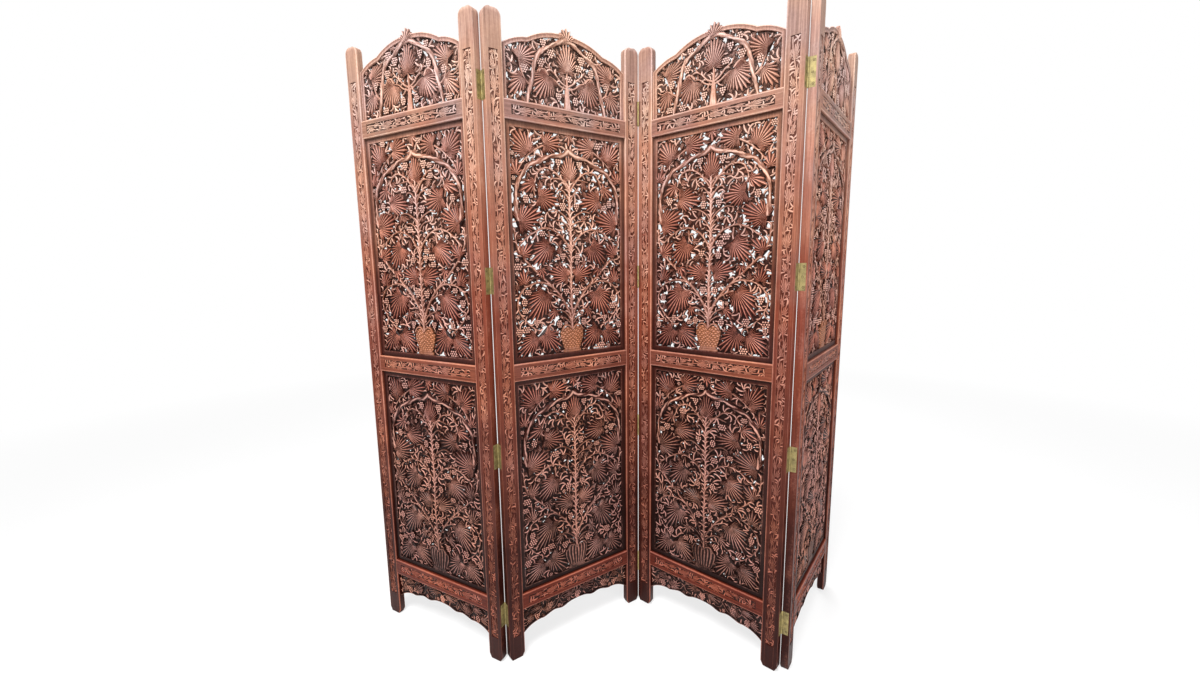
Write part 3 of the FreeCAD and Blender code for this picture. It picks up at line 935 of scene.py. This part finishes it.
def ribbon(carving, outer, inner, soft=0.0012, top=0.0):
    """A flat strip between two lines of equal length, with soft front edges."""
    outer = np.asarray(outer, float)
    inner = np.asarray(inner, float)
    across = inner - outer
    across /= np.maximum(np.hypot(*across.T)[:, None], 1e-9)
    lines = [(outer, -board_thickness), (outer, top - soft), (outer + across * soft, top),
             (outer + across * 3 * soft, top), (inner - across * soft, top), (inner, top - soft),
             (inner, -board_thickness)]
    rings = np.stack([np.column_stack([line, np.full(len(line), height)]) for line, height in lines], 1)
    # The strip's front edges are set pale as wear and painted highlight, its cut sides dark as painted
    # shade.
    carving.loft(rings, np.array([0, 0.8, 1.0, 0.3, 0.7, 0.5, 0]), 0.3)


# The crest's tree, with z from its foot; its tables are as the jali's

crest_leaves = [
    (0.062, 0.079, 0.098, 0.022, 0.076, 25),
    (0.151, 0.106, 0.098, 0.139, 0.052, 19),
    (0.141, 0.062, 0.180, 0.018, 0.046, 15),
]
crest_apex_leaf = (0.0, 0.099, 0.0, 0.180, 0.063, 21)
crest_arch = [(0.0, 0.182), (0.012, 0.180), (0.030, 0.171), (0.053, 0.157), (0.088, 0.135), (0.103, 0.104),
              (0.112, 0.062), (0.124, 0.020), (0.128, 0.0)]
crest_stems = [
    (0.0030, [(0.000, 0.062), (0.020, 0.072), (0.036, 0.088), (0.052, 0.099), (0.060, 0.112)]),
    (0.0028, [(0.004, 0.056), (0.024, 0.062), (0.044, 0.076), (0.062, 0.080)]),
    (0.0038, [(0.060, 0.082), (0.072, 0.096), (0.086, 0.095), (0.094, 0.084)]),
    (0.0028, [(0.118, 0.050), (0.132, 0.060), (0.142, 0.080), (0.152, 0.106)]),
    (0.0026, [(0.130, 0.058), (0.150, 0.068), (0.168, 0.066), (0.184, 0.074)]),
    (0.0024, [(0.012, 0.062), (0.018, 0.050), (0.030, 0.046)]),
]
crest_grapes = [(0.082, 0.112), (0.027, 0.030), (0.134, 0.086), (0.050, 0.137), (0.076, 0.158)]


def crest(foot, seed):
    """The pierced crest under its stepped ogee border, with a leaf for a finial."""
    rng = np.random.default_rng(seed)
    carving = Carving(board_recess)
    edge = crest_edge()
    side = [(opening_half, -board_reach), (opening_half, crest_shoulder_height * 0.5)]
    outer = np.array(side + edge)
    width = crest_border_width
    away = sideways(outer) * width
    away[:2] = (-width, 0)
    away[2] = (-width, -width * 0.7)
    away[-1] = (0, -width)
    inner = outer + away
    inner[:, 0] = np.maximum(inner[:, 0], 0)
    inner[-1] = (0, outer[-1][1] - width)
    for flip in (1, -1):
        ribbon(carving, outer * (flip, 1), inner * (flip, 1))
    tongue = np.array([(opening_half - 0.001, up) for up in (-board_reach, crest_shoulder_height)])
    hidden = tongue + (board_reach, 0)
    for flip in (1, -1):
        ribbon(carving, hidden * (flip, 1), tongue * (flip, 1), soft=0.0002, top=-0.0006)
    field = np.vstack([[(opening_half - width, 0.0)], inner[1:], (inner * (-1, 1))[:0:-1],
                       [(-opening_half + width, 0.0)]])
    ground = Ground((-opening_half, 0.0), (opening_half, crest_height), field)
    top = 0.0004
    base = rounded_block(opening_half - width, -board_reach, 0.0042, top - 0.0010)
    carving.loft(*base, 0.3)
    ground.cover_path(np.array([(x, 0.0) for x in np.arange(-0.2, 0.2, 0.004)]), 0.005)
    trunk_half = np.interp(np.linspace(0, 1, 12), [0, 0.5, 1], [0.012, 0.007, 0.005])
    trunk_up = np.linspace(0, 0.066, 12)
    for lean in (-0.5, 0.0, 0.5):
        path = np.column_stack([trunk_half * lean, trunk_up])
        stem(carving, path, 0.0062, top + 0.0012 - 0.0008 * abs(lean), taper=0.6, knots=0.09, sides=12)
        ground.cover_path(path, 0.006)
    stem(carving, curve([(0.0, 0.055), (0.0, 0.080), (0.0, 0.103)]), 0.0042, top, taper=0.8)
    arch(carving, ground, rng, crest_arch, spread=0.0010, radius=0.0066, cleared=0.0062,
         top=top + arch_rise, taper=1.0, knots=0.18)
    set_leaf(carving, ground, crest_apex_leaf, top + 0.0012)
    grow(carving, ground, rng, crest_leaves, crest_stems, crest_grapes, top)
    fill(carving, ground, rng, top - fill_drop, (0.009, 0.007, 0.005, 0.004, 0.003), open_share=0.08)
    undergrowth(carving, ground, rng, top - undergrowth_drop, open_share=0.62, wear_and_sheen=0.20)
    tip = crest_height + finial_height
    leaf(carving, (0.0, crest_height - 0.018), (0.0, tip), 2 * finial_half_width, 0.0034, 13,
         half_fan=1.6, crown=0.0030, tan=0.1)
    lift(carving, foot)
    return carving


# The apron's foliage, with z from the bottom rail's base

apron_leaves = [
    (0.020, -0.010, 0.058, -0.034, 0.028, 13),
    (0.120, -0.044, 0.082, -0.018, 0.032, 13),
    (0.138, -0.014, 0.176, -0.030, 0.026, 13),
    (0.166, -0.040, 0.190, -0.068, 0.028, 13),
    (0.062, -0.008, 0.036, -0.010, 0.013, 7),
    (0.102, -0.012, 0.126, -0.010, 0.014, 7),
]
apron_stems = [
    (0.0026, [(0.0, -0.024), (0.020, -0.012), (0.048, -0.010), (0.072, -0.026), (0.086, -0.044),
              (0.112, -0.050), (0.130, -0.036), (0.140, -0.016), (0.164, -0.010), (0.184, -0.020)]),
    (0.0024, [(0.134, -0.030), (0.150, -0.038), (0.168, -0.044), (0.184, -0.056)]),
    (0.0022, [(0.070, -0.024), (0.060, -0.040), (0.044, -0.044)]),
]
apron_grapes = [(0.0, -0.034), (0.104, -0.034), (0.150, -0.052)]


def apron_edge():
    """The apron's lower edge from its middle to its right end: foils, cusps and a last sweep."""
    drop = apron_end_depth - apron_centre_depth
    cusps = [(0.0, 0.0), (0.15, 0.06), (0.29, 0.26), (0.44, 0.16), (0.62, 0.40)]
    places = [(across * opening_half, -apron_centre_depth - down * drop) for across, down in cusps]
    sweep = (0.86 * opening_half, -apron_centre_depth - 0.56 * drop)
    return places + arc(places[-1], sweep, (opening_half, -apron_end_depth), 8)[1:]


def apron(foot, seed):
    """The carved apron: foliage in relief on a solid board, with a bead along its cusped edge."""
    rng = np.random.default_rng(seed)
    carving = Carving(board_recess)
    right = apron_edge()
    edge = np.array(mirrored(right[:0:-1]) + right)
    low = [(-opening_half - board_reach, -apron_end_depth)] + edge.tolist()
    low += [(opening_half + board_reach, -apron_end_depth)]
    sunk = -0.0042
    rings = []
    for x, z in low:
        rings.append([(x, board_reach, sunk), (x, z, sunk), (x, z, -board_thickness),
                      (x, board_reach, -board_thickness)])
    # The sunken ground is set dark, as painted shade behind the foliage.
    carving.loft(rings, 0.05, 0.1)
    dense = curve(edge, 0.004)
    stem(carving, dense + (0, 0.0016), 0.0019, 0.0, depth=board_thickness - 0.0002, sides=8, tan=0.4)
    outline = np.vstack([edge + (0, 0.003), [(opening_half, 0.0), (-opening_half, 0.0)]])
    ground = Ground((-opening_half, -apron_end_depth), (opening_half, 0.0), outline)
    grow(carving, ground, rng, apron_leaves, apron_stems, apron_grapes, -0.0006)
    fill(carving, ground, rng, -0.0010, (0.008, 0.006, 0.004, 0.003), open_share=0.0, depth=0.006)
    lift(carving, foot)
    return carving


# Hinges, drawn about the barrel's axis: x away from the fold's middle plane, y into the thickness

def bar(carving, radius, low, high, sides=20):
    """A round bar along the fold's axis, with softened ends."""
    soft = brass_soft
    turn = all_round(sides)
    rings = []
    ends = ((low, radius - soft), (low + soft, radius), (high - soft, radius), (high, radius - soft))
    for z, size in ends:
        rings.append(np.column_stack([size * np.cos(turn), np.full(sides, z), size * np.sin(turn)]))
    carving.loft(rings, np.array([0.9, 0.7, 0.7, 0.9])[:, None])


def hinge_leaf(carving, height, outer, on_back, right):
    """A leaf with its rolled knuckles and three screws, as seen on the stile's edge."""
    side = 1 if right else -1
    face = side * (hinge_gap / 2)
    into = side * (hinge_gap / 2 + leaf_thickness)
    soft = brass_soft

    def depth_of(y):
        return y if on_back else -y

    far = barrel_setoff + hinge_leaf_width
    low, high = height - leaf_length / 2, height + leaf_length / 2
    plate(carving, face, into, depth_of(barrel_reach), depth_of(far), low, high, soft)
    knuckle = leaf_length / 3
    for number in range(3):
        if (number % 2 == 0) == outer:
            start = low + number * knuckle + knuckle_gap / 2
            end = start + knuckle - knuckle_gap
            bar(carving, barrel_radius, start, end)
            plate(carving, face, into, 0.0, depth_of(barrel_reach + soft), start, end, soft / 2)
    for number in (-1, 0, 1):
        deep = barrel_reach + hinge_leaf_width * (0.40 + 0.16 * (number % 2))
        screw(carving, face, -side, depth_of(deep), height + number * screw_spacing)


def plate(carving, face, into, near, far, low, high, soft):
    """A flat strip of brass, its face and edges as given."""
    inwards = 1 if into > face else -1
    rings = []
    for x, inset in ((face, soft), (face + inwards * soft, 0), (into, 0)):
        step = inset if far > near else -inset
        rings.append([(x, low + inset, near + step), (x, high - inset, near + step),
                      (x, high - inset, far - step), (x, low + inset, far - step)])
    carving.loft(rings, np.array([0.6, 0.9, 0.1])[:, None])


def screw(carving, face, outwards, depth, height):
    """A countersunk head in its dark ring, just proud of the leaf."""
    sides = 16
    turn = all_round(sides)
    rings = []
    steps = [
        # radius, how far proud of the leaf
        (0.0034, 0.0),
        (0.0033, 0.00006),
        (0.0026, 0.00006),
        (0.0024, 0.00026),
        (0.0012, 0.0003),
    ]
    for radius, proud in steps:
        rings.append(np.column_stack([np.full(sides, face + outwards * proud),
                                      height + radius * np.sin(turn), depth + radius * np.cos(turn)]))
    carving.loft(rings, np.array([-1.0, -1.0, -1.0, 0.9, 0.2])[:, None])


# Meshes, and what each stands for

def put(name, data):
    """A new object in the scene, at its origin."""
    thing = bpy.data.objects.new(name, data)
    bpy.context.scene.collection.objects.link(thing)
    return thing


def build(carving, name, matrix, body, nodes, finish):
    """Turn a carving into a piece that rides on its body in place of its nodes."""
    places = np.vstack(carving.points)
    local = np.column_stack([places[:, 0], carving.front - places[:, 2], places[:, 1]])
    mesh = bpy.data.meshes.new(name)
    mesh.from_pydata(local.tolist(), [], carving.faces)
    for label, values in (("worn", carving.worn), ("tan", carving.tan)):
        mesh.attributes.new(label, "FLOAT", "POINT").data.foreach_set("value", np.concatenate(values))
    shell = bmesh.new()
    shell.from_mesh(mesh)
    bmesh.ops.recalc_face_normals(shell, faces=shell.faces)
    shell.to_mesh(mesh)
    shell.free()
    mesh.set_sharp_from_angle(angle=math.radians(38))
    mesh.materials.append(finish)
    piece = put(name, mesh)
    piece.matrix_world = matrix
    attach(piece, body)
    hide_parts(*nodes)
    return piece


# Finishes

class Shade:
    """What one socket of a finish gives, ready to be worked with as a number."""

    def __init__(self, finish, socket):
        self.finish = finish
        self.socket = socket

    def sum(self, operation, first, second):
        return self.finish.add("ShaderNodeMath", {"operation": operation}, {0: first, 1: second})

    def __add__(self, other):
        return self.sum("ADD", self, other)

    def __sub__(self, other):
        return self.sum("SUBTRACT", self, other)

    def __rsub__(self, other):
        return self.sum("SUBTRACT", other, self)

    def __mul__(self, other):
        return self.sum("MULTIPLY", self, other)

    __radd__ = __add__
    __rmul__ = __mul__


class Finish:
    """The nodes that make a material, or the light of the surround."""

    def __init__(self, owner):
        owner.use_nodes = True
        self.owner = owner
        self.tree = owner.node_tree
        self.shader = self.tree.nodes.get("Principled BSDF")

    def add(self, kind, settings, sockets, output=0):
        """Add a node: its settings first, then the values or links of its sockets."""
        node = self.tree.nodes.new(kind)
        for name, value in settings.items():
            if name == "stops":
                ramp = node.color_ramp
                while len(ramp.elements) < len(value):
                    ramp.elements.new(0.5)
                for element, (place, colour) in zip(ramp.elements, value):
                    element.position = place
                    element.color = (*colour, 1)
            else:
                setattr(node, name, value)
        for name, value in sockets.items():
            if isinstance(value, Shade):
                self.tree.links.new(value.socket, node.inputs[name])
            elif isinstance(value, tuple) and len(value) == 3 and len(node.inputs[name].default_value) == 4:
                node.inputs[name].default_value = (*value, 1)
            else:
                node.inputs[name].default_value = value
        return Shade(self, node.outputs[output])

    def set(self, **sockets):
        """Set the shader's own sockets, or link what varies over the surface."""
        for name, value in sockets.items():
            socket = self.shader.inputs[name.replace("_", " ")]
            if isinstance(value, Shade):
                self.tree.links.new(value.socket, socket)
            else:
                socket.default_value = value

    def show(self, output, share, under, over):
        """Show one shader or the other at the last node."""
        mixed = self.add("ShaderNodeMixShader", {}, {0: share, 1: under, 2: over})
        self.tree.links.new(mixed.socket, self.tree.nodes[output].inputs["Surface"])

    def attribute(self, name):
        """One of the values build wrote to the points of a piece: wear and painted light, or tan."""
        return self.add("ShaderNodeAttribute", {"attribute_name": name}, {}, 2)

    def place(self):
        """The place on the piece in its own axes, shifted from piece to piece."""
        here = self.add("ShaderNodeTexCoord", {}, {}, "Object")
        chance = self.add("ShaderNodeObjectInfo", {}, {}, "Random")
        shift = self.add("ShaderNodeCombineXYZ", {}, {0: chance * 7, 1: chance * 3, 2: 0.0})
        return self.add("ShaderNodeVectorMath", {"operation": "ADD"}, {0: here, 1: shift})

    def part(self, vector, axis):
        return self.add("ShaderNodeSeparateXYZ", {}, {0: vector}, axis)

    def stretched(self, place, scale):
        return self.add("ShaderNodeVectorMath", {"operation": "MULTIPLY"}, {0: place, 1: scale})

    def noise(self, place, scale, detail, roughness):
        return self.add("ShaderNodeTexNoise", {}, {"Vector": place, "Scale": scale, "Detail": detail,
                                                   "Roughness": roughness})

    def ramp(self, value, stops):
        return self.add("ShaderNodeValToRGB", {"stops": stops}, {0: value})

    def between(self, value, low, high, out_low=0.0, out_high=1.0):
        return self.add("ShaderNodeMapRange", {}, {"Value": value, "From Min": low, "From Max": high,
                                                   "To Min": out_low, "To Max": out_high})

    def mix(self, share, under, over, way="MIX"):
        """Colours laid one over the other."""
        return self.add("ShaderNodeMix", {"data_type": "RGBA", "blend_type": way},
                        {0: share, 6: under, 7: over}, 2)

    def bump(self, height, distance, strength=1.0, normal=None):
        sockets = {"Height": height, "Distance": distance, "Strength": strength}
        if normal:
            sockets["Normal"] = normal
        return self.add("ShaderNodeBump", {}, sockets)


def tint(red, green, blue):
    """A colour as seen on a screen, turned into light."""
    return tuple(((part / 255 + 0.055) / 1.055) ** 2.4 for part in (red, green, blue))


def wood(name, grain, stain_and_painted_light, wear_and_sheen_ramp, groove_shade_colour, groove_shade_share, wear_and_sheen_low, wear_and_sheen_from):
    """Stained hardwood with grain, and painted light: darker towards the floor and paler towards the top,
    as light falls from above; ridges pale as wear and painted sheen; grooves dark as painted shade.

    Both colour ramps are given from the floor upwards."""
    finish = Finish(bpy.data.materials.new(name))
    place = finish.place()
    height = finish.part(finish.add("ShaderNodeTexCoord", {}, {}, "Object"), "Z")
    # Faces turned to the back get one middle value in place of their painted highlight and shade, and lose
    # their tan.
    facing_back = finish.part(finish.add("ShaderNodeTexCoord", {}, {}, "Normal"), "Y")
    rear = finish.between(facing_back, 0.85, 0.97)
    worn = finish.attribute("worn")
    worn = worn + rear * (0.42 - worn)
    tan = finish.attribute("tan")
    tan = tan - rear * tan
    fibre = finish.noise(finish.stretched(place, grain), 1.0, 6.0, 0.62)
    patch = finish.noise(place, 9.0, 4.0, 0.55)
    spots = finish.noise(place, 140.0, 3.0, 0.7)
    # Painted light falling from above: the colour ramps by height run from dark at the floor to pale at the
    # top.
    rise = finish.between(height + (patch - 0.5) * 0.6, 0.3, 1.75)

    colour = finish.ramp(rise, list(zip((0.0, 0.5, 0.8, 1.0), stain_and_painted_light)))
    tanned = finish.between(tan, 0.5, 1.6, 0.0, 0.7) * finish.between(rise, 0.05, 0.35)
    colour = finish.mix(tanned, colour, honey)
    streaks = finish.ramp(fibre, [(0.32, tint(140, 128, 124)), (0.60, tint(255, 255, 255))])
    colour = finish.mix(0.6, colour, streaks, "MULTIPLY")
    # Wear and painted sheen: ridges and edges turn pale, in a colour that also runs paler with height.
    wear_and_sheen = finish.between(worn + (spots - 0.5) * 0.4 + (patch - 0.5) * 0.4, wear_and_sheen_from, 0.98)
    wear_and_sheen_colour = finish.ramp(rise, list(zip((0.0, 0.5, 1.0), wear_and_sheen_ramp)))
    colour = finish.mix(wear_and_sheen * finish.between(rise, 0.0, 1.0, wear_and_sheen_low, 0.9), colour, wear_and_sheen_colour)
    reddened = finish.between(tan, 0.0, 0.2, 0.75, 0.0) * finish.between(rise, 0.1, 0.4)
    reddened = reddened * finish.between(rise, 0.65, 1.0, 1.0, 0.3)
    colour = finish.mix(reddened, colour, red_leaf, "MULTIPLY")
    cloud = finish.noise(place, 6.0, 2.0, 0.5)
    tone = finish.ramp(cloud, [(0.36, tint(228, 222, 232)), (0.62, tint(255, 241, 226))])
    colour = finish.mix(0.8, colour, tone, "MULTIPLY")
    # Painted shade: low values take the dark groove colour in hollows and grooves.
    dark = finish.between(worn + (spots - 0.5) * 0.2, 0.05, wear_and_sheen_from, groove_shade_share, 0.0)
    colour = finish.mix(dark, colour, groove_shade_colour)

    pores = finish.bump(fibre, 0.0004, 0.6)
    finish.set(Base_Color=colour, Roughness=finish.between(spots + worn * 0.3, 0.3, 0.9, 0.36, 0.58),
               Specular_IOR_Level=0.12, Coat_Roughness=0.3,
               Coat_Weight=finish.between(patch, 0.35, 0.65, 0.0, 0.08),
               Normal=finish.bump(spots, 0.0003, 0.5, pores))
    return finish.owner


def brass_finish():
    """Old brass, dulled to olive in its hollows and rubbed bright on its edges."""
    finish = Finish(bpy.data.materials.new("aged_brass"))
    place = finish.place()
    cloud = finish.noise(place, 60.0, 5.0, 0.6)
    specks = finish.noise(place, 600.0, 3.0, 0.7)
    bright = finish.between(finish.attribute("worn") * 0.5 + cloud, 0.45, 1.1)
    colour = finish.mix(bright, tint(66, 54, 30), tint(186, 170, 116))
    colour = finish.mix(finish.between(specks, 0.58, 0.70) * 0.6, colour, tint(54, 42, 26))
    finish.set(Base_Color=colour, Metallic=finish.between(cloud, 0.3, 0.7, 0.45, 0.8),
               Roughness=finish.between(cloud + (specks - 0.5), 0.3, 0.8, 0.45, 0.7),
               Normal=finish.bump(specks, 0.0001, 0.4))
    return finish.owner


upright_grain = (260.0, 260.0, 9.0)
level_grain = (9.0, 260.0, 260.0)
# Colour ramps run from the floor up, dark low and pale high, as painted light falling from above; the pale
# ridge colours are wear and painted sheen, the groove colours painted shade.
frame_stain_and_painted_light = (tint(46, 12, 6), tint(138, 72, 54), tint(180, 130, 110), tint(184, 152, 136))
# The rails' ramp is lighter low down than the stiles', as painted light on their lit tops.
rail_stain_and_painted_light = (tint(104, 40, 24), tint(144, 84, 66), tint(176, 124, 106), tint(168, 136, 122))
frame_wear_and_sheen = (tint(186, 116, 96), tint(214, 156, 132), tint(214, 190, 178))
board_stain_and_painted_light = (tint(32, 9, 5), tint(84, 41, 32), tint(150, 104, 86), tint(180, 142, 126))
board_wear_and_sheen = (tint(206, 150, 134), tint(228, 178, 160), tint(238, 210, 196))
groove_shade_red = tint(62, 22, 14)
groove_shade_darkest = tint(28, 11, 8)
red_leaf = tint(255, 206, 190)
honey = tint(214, 142, 100)
stile_wood = wood("stile_wood", upright_grain, frame_stain_and_painted_light, frame_wear_and_sheen, groove_shade_red, 0.85, 0.8, 0.46)
rail_wood_with_painted_light = wood("rail_wood_with_painted_light", level_grain, rail_stain_and_painted_light, frame_wear_and_sheen, groove_shade_darkest, 0.92, 0.95, 0.46)
board_wood = wood("board_wood", upright_grain, board_stain_and_painted_light, board_wear_and_sheen, groove_shade_darkest, 0.94, 0.95, 0.54)
brass = brass_finish()


# The screen

def dress(panel):
    """All the wood of one panel."""
    number = panel.number
    seed = 10 * number
    left_hinged = -1 if number > 1 else 0
    right_hinged = 1 if number < 4 else 0
    across = opening_half + stile_width / 2
    pieces = {
        "left_stile": (stile(-across, left_hinged, barrel_on_back(number - 1), seed), stile_wood),
        "right_stile": (stile(across, right_hinged, barrel_on_back(number), seed + 1), stile_wood),
        "upper_jali": (jali(rail_tops[1], seed + 2, True), board_wood),
        "lower_jali": (jali(rail_tops[0], seed + 3, False), board_wood),
        "crest": (crest(rail_tops[2], seed + 4), board_wood),
        "apron": (apron(rail_bases[0], seed + 5), board_wood),
    }
    for row, rail_name in enumerate(rail_names):
        pieces[rail_name] = (rail(rail_bases[row], seed + 6 + row), rail_wood_with_painted_light)
    for piece_name, (carving, finish) in pieces.items():
        node = panel.node(piece_name)
        slot = "frame_wood" if finish in (stile_wood, rail_wood_with_painted_light) else "carved_wood"
        build(carving, node + "_carved", panel.matrix, panel.body, [node], finish)


def barrel_on_back(fold):
    """Whether a fold's barrels stand behind the panels, from where its axis is."""
    if not 1 <= fold <= 3:
        return False
    axis = panels[fold].matrix.inverted() @ Vector(frame["joints"][fold - 1]["pos_m"])
    return axis.y > frame_thickness / 2


def hang(fold):
    """The hinges of one fold: leaves on both panels, and the pins."""
    joint = frame["joints"][fold - 1]
    on_back = barrel_on_back(fold)
    axis = Matrix.Translation(Vector(joint["pos_m"]))
    first, second = panels[fold - 1], panels[fold]
    for panel, side_name, outer in ((first, "left", True), (second, "right", False)):
        carving = Carving(0)
        for height in hinge_heights:
            hinge_leaf(carving, height, outer, on_back, side_name == "right")
        node = "fold_%d_%s_leaves" % (fold, side_name)
        matrix = axis @ Matrix.Rotation(panel.turn, 4, "Z")
        build(carving, node + "_brass", matrix, panel.body, [node], brass)
    carving = Carving(0)
    for height in hinge_heights:
        bar(carving, pin_radius, height - leaf_length / 2, height + leaf_length / 2, 16)
    node = "fold_%d_pins" % fold
    bodies = frame["record"]["behaviour"]["bodies"]
    holder = second if node in bodies[second.body] else first
    build(carving, node + "_brass", axis, holder.body, [node], brass)


for panel in panels:
    dress(panel)
for fold in (1, 2, 3):
    hang(fold)


# Floor, light and camera. The floor's glow grows between two distances, and the view's angles are in
# degrees.

floor_half = 60.0
glow_from = 1.2
glow_to = 5.0
soft_light = 0.42
view_yaw = -1.505
view_pitch = 8.686
view_roll = 0.849
eye_from_second_fold = Vector((-0.1130, -1.6301, 1.1794))
lens_mm = 14.937
sensor_mm = 36
lens_shift = (0.00745, 0.0045)
lamps = [
    # name, place, target, size, power in watts
    ("key", (-1.0, -2.1, 4.0), (0, 0, 0.9), 1.6, 228),
    ("fill", (2.6, -2.6, 1.8), (0, 0, 0.9), 2.6, 50),
    ("back", (0.6, 3.2, 2.6), (0, 0, 1.0), 2.6, 95),
]


def floor():
    """A pale floor that keeps the screen's shadow and fades into white further out."""
    corners = [(x * floor_half, y * floor_half, 0) for x, y in ((-1, -1), (1, -1), (1, 1), (-1, 1))]
    mesh = bpy.data.meshes.new("floor")
    mesh.from_pydata(corners, [], [(0, 1, 2, 3)])
    finish = Finish(bpy.data.materials.new("pale_floor"))
    finish.set(Base_Color=(0.86, 0.86, 0.86, 1), Roughness=0.9)
    here = finish.add("ShaderNodeTexCoord", {}, {}, "Object")
    away = finish.add("ShaderNodeVectorMath", {"operation": "LENGTH"}, {0: here}, "Value")
    to_camera = finish.add("ShaderNodeLightPath", {}, {}, "Is Camera Ray")
    white = finish.add("ShaderNodeEmission", {}, {"Color": (1.0, 1.0, 1.0), "Strength": 1.0})
    share = to_camera * finish.between(away, glow_from, glow_to, 0.6, 1.0)
    finish.show("Material Output", share, Shade(finish, finish.shader.outputs[0]), white)
    mesh.materials.append(finish.owner)
    put("floor", mesh)


def surround():
    """White to the camera and in reflections, softer as light."""
    world = bpy.data.worlds.new("studio")
    bpy.context.scene.world = world
    finish = Finish(world)
    to_camera = finish.add("ShaderNodeLightPath", {}, {}, "Is Camera Ray")
    in_reflection = finish.add("ShaderNodeLightPath", {}, {}, "Is Glossy Ray")
    soft, white = [finish.add("ShaderNodeBackground", {}, {"Color": (1.0, 1.0, 1.0), "Strength": strength})
                   for strength in (soft_light, 1.0)]
    seen = finish.add("ShaderNodeMath", {"operation": "MAXIMUM"}, {0: to_camera, 1: in_reflection})
    finish.show("World Output", seen, soft, white)


def lamp(name, place, target, size, power):
    """A square lamp turned towards a place."""
    light = bpy.data.lights.new(name, "AREA")
    light.size = size
    light.energy = power
    holder = put(name, light)
    holder.location = place
    holder.rotation_euler = (Vector(target) - Vector(place)).to_track_quat("-Z", "Y").to_euler()


def camera():
    """The photograph's view: close in front of the second fold, at chest height, looking down."""
    yaw, pitch, roll = (math.radians(angle) for angle in (view_yaw, view_pitch, view_roll))
    ahead = Vector((math.sin(yaw) * math.cos(pitch), math.cos(yaw) * math.cos(pitch), -math.sin(pitch)))
    right = Vector((math.cos(yaw), -math.sin(yaw), 0))
    down = ahead.cross(right)
    rolled = math.cos(roll) * right + math.sin(roll) * down
    rolled_down = math.cos(roll) * down - math.sin(roll) * right
    turn = Matrix((rolled, -rolled_down, -ahead)).transposed().to_4x4()
    eye = Vector(frame["joints"][1]["pos_m"]) + eye_from_second_fold
    data = bpy.data.cameras.new("viewer")
    data.sensor_width = sensor_mm
    data.lens = lens_mm
    data.shift_x, data.shift_y = lens_shift
    data.clip_start = 0.02
    viewer = put("viewer", data)
    viewer.matrix_world = Matrix.Translation(eye) @ turn
    bpy.context.scene.camera = viewer


floor()
surround()
for row in lamps:
    lamp(*row)
camera()
bpy.context.scene.view_settings.view_transform = "Standard"
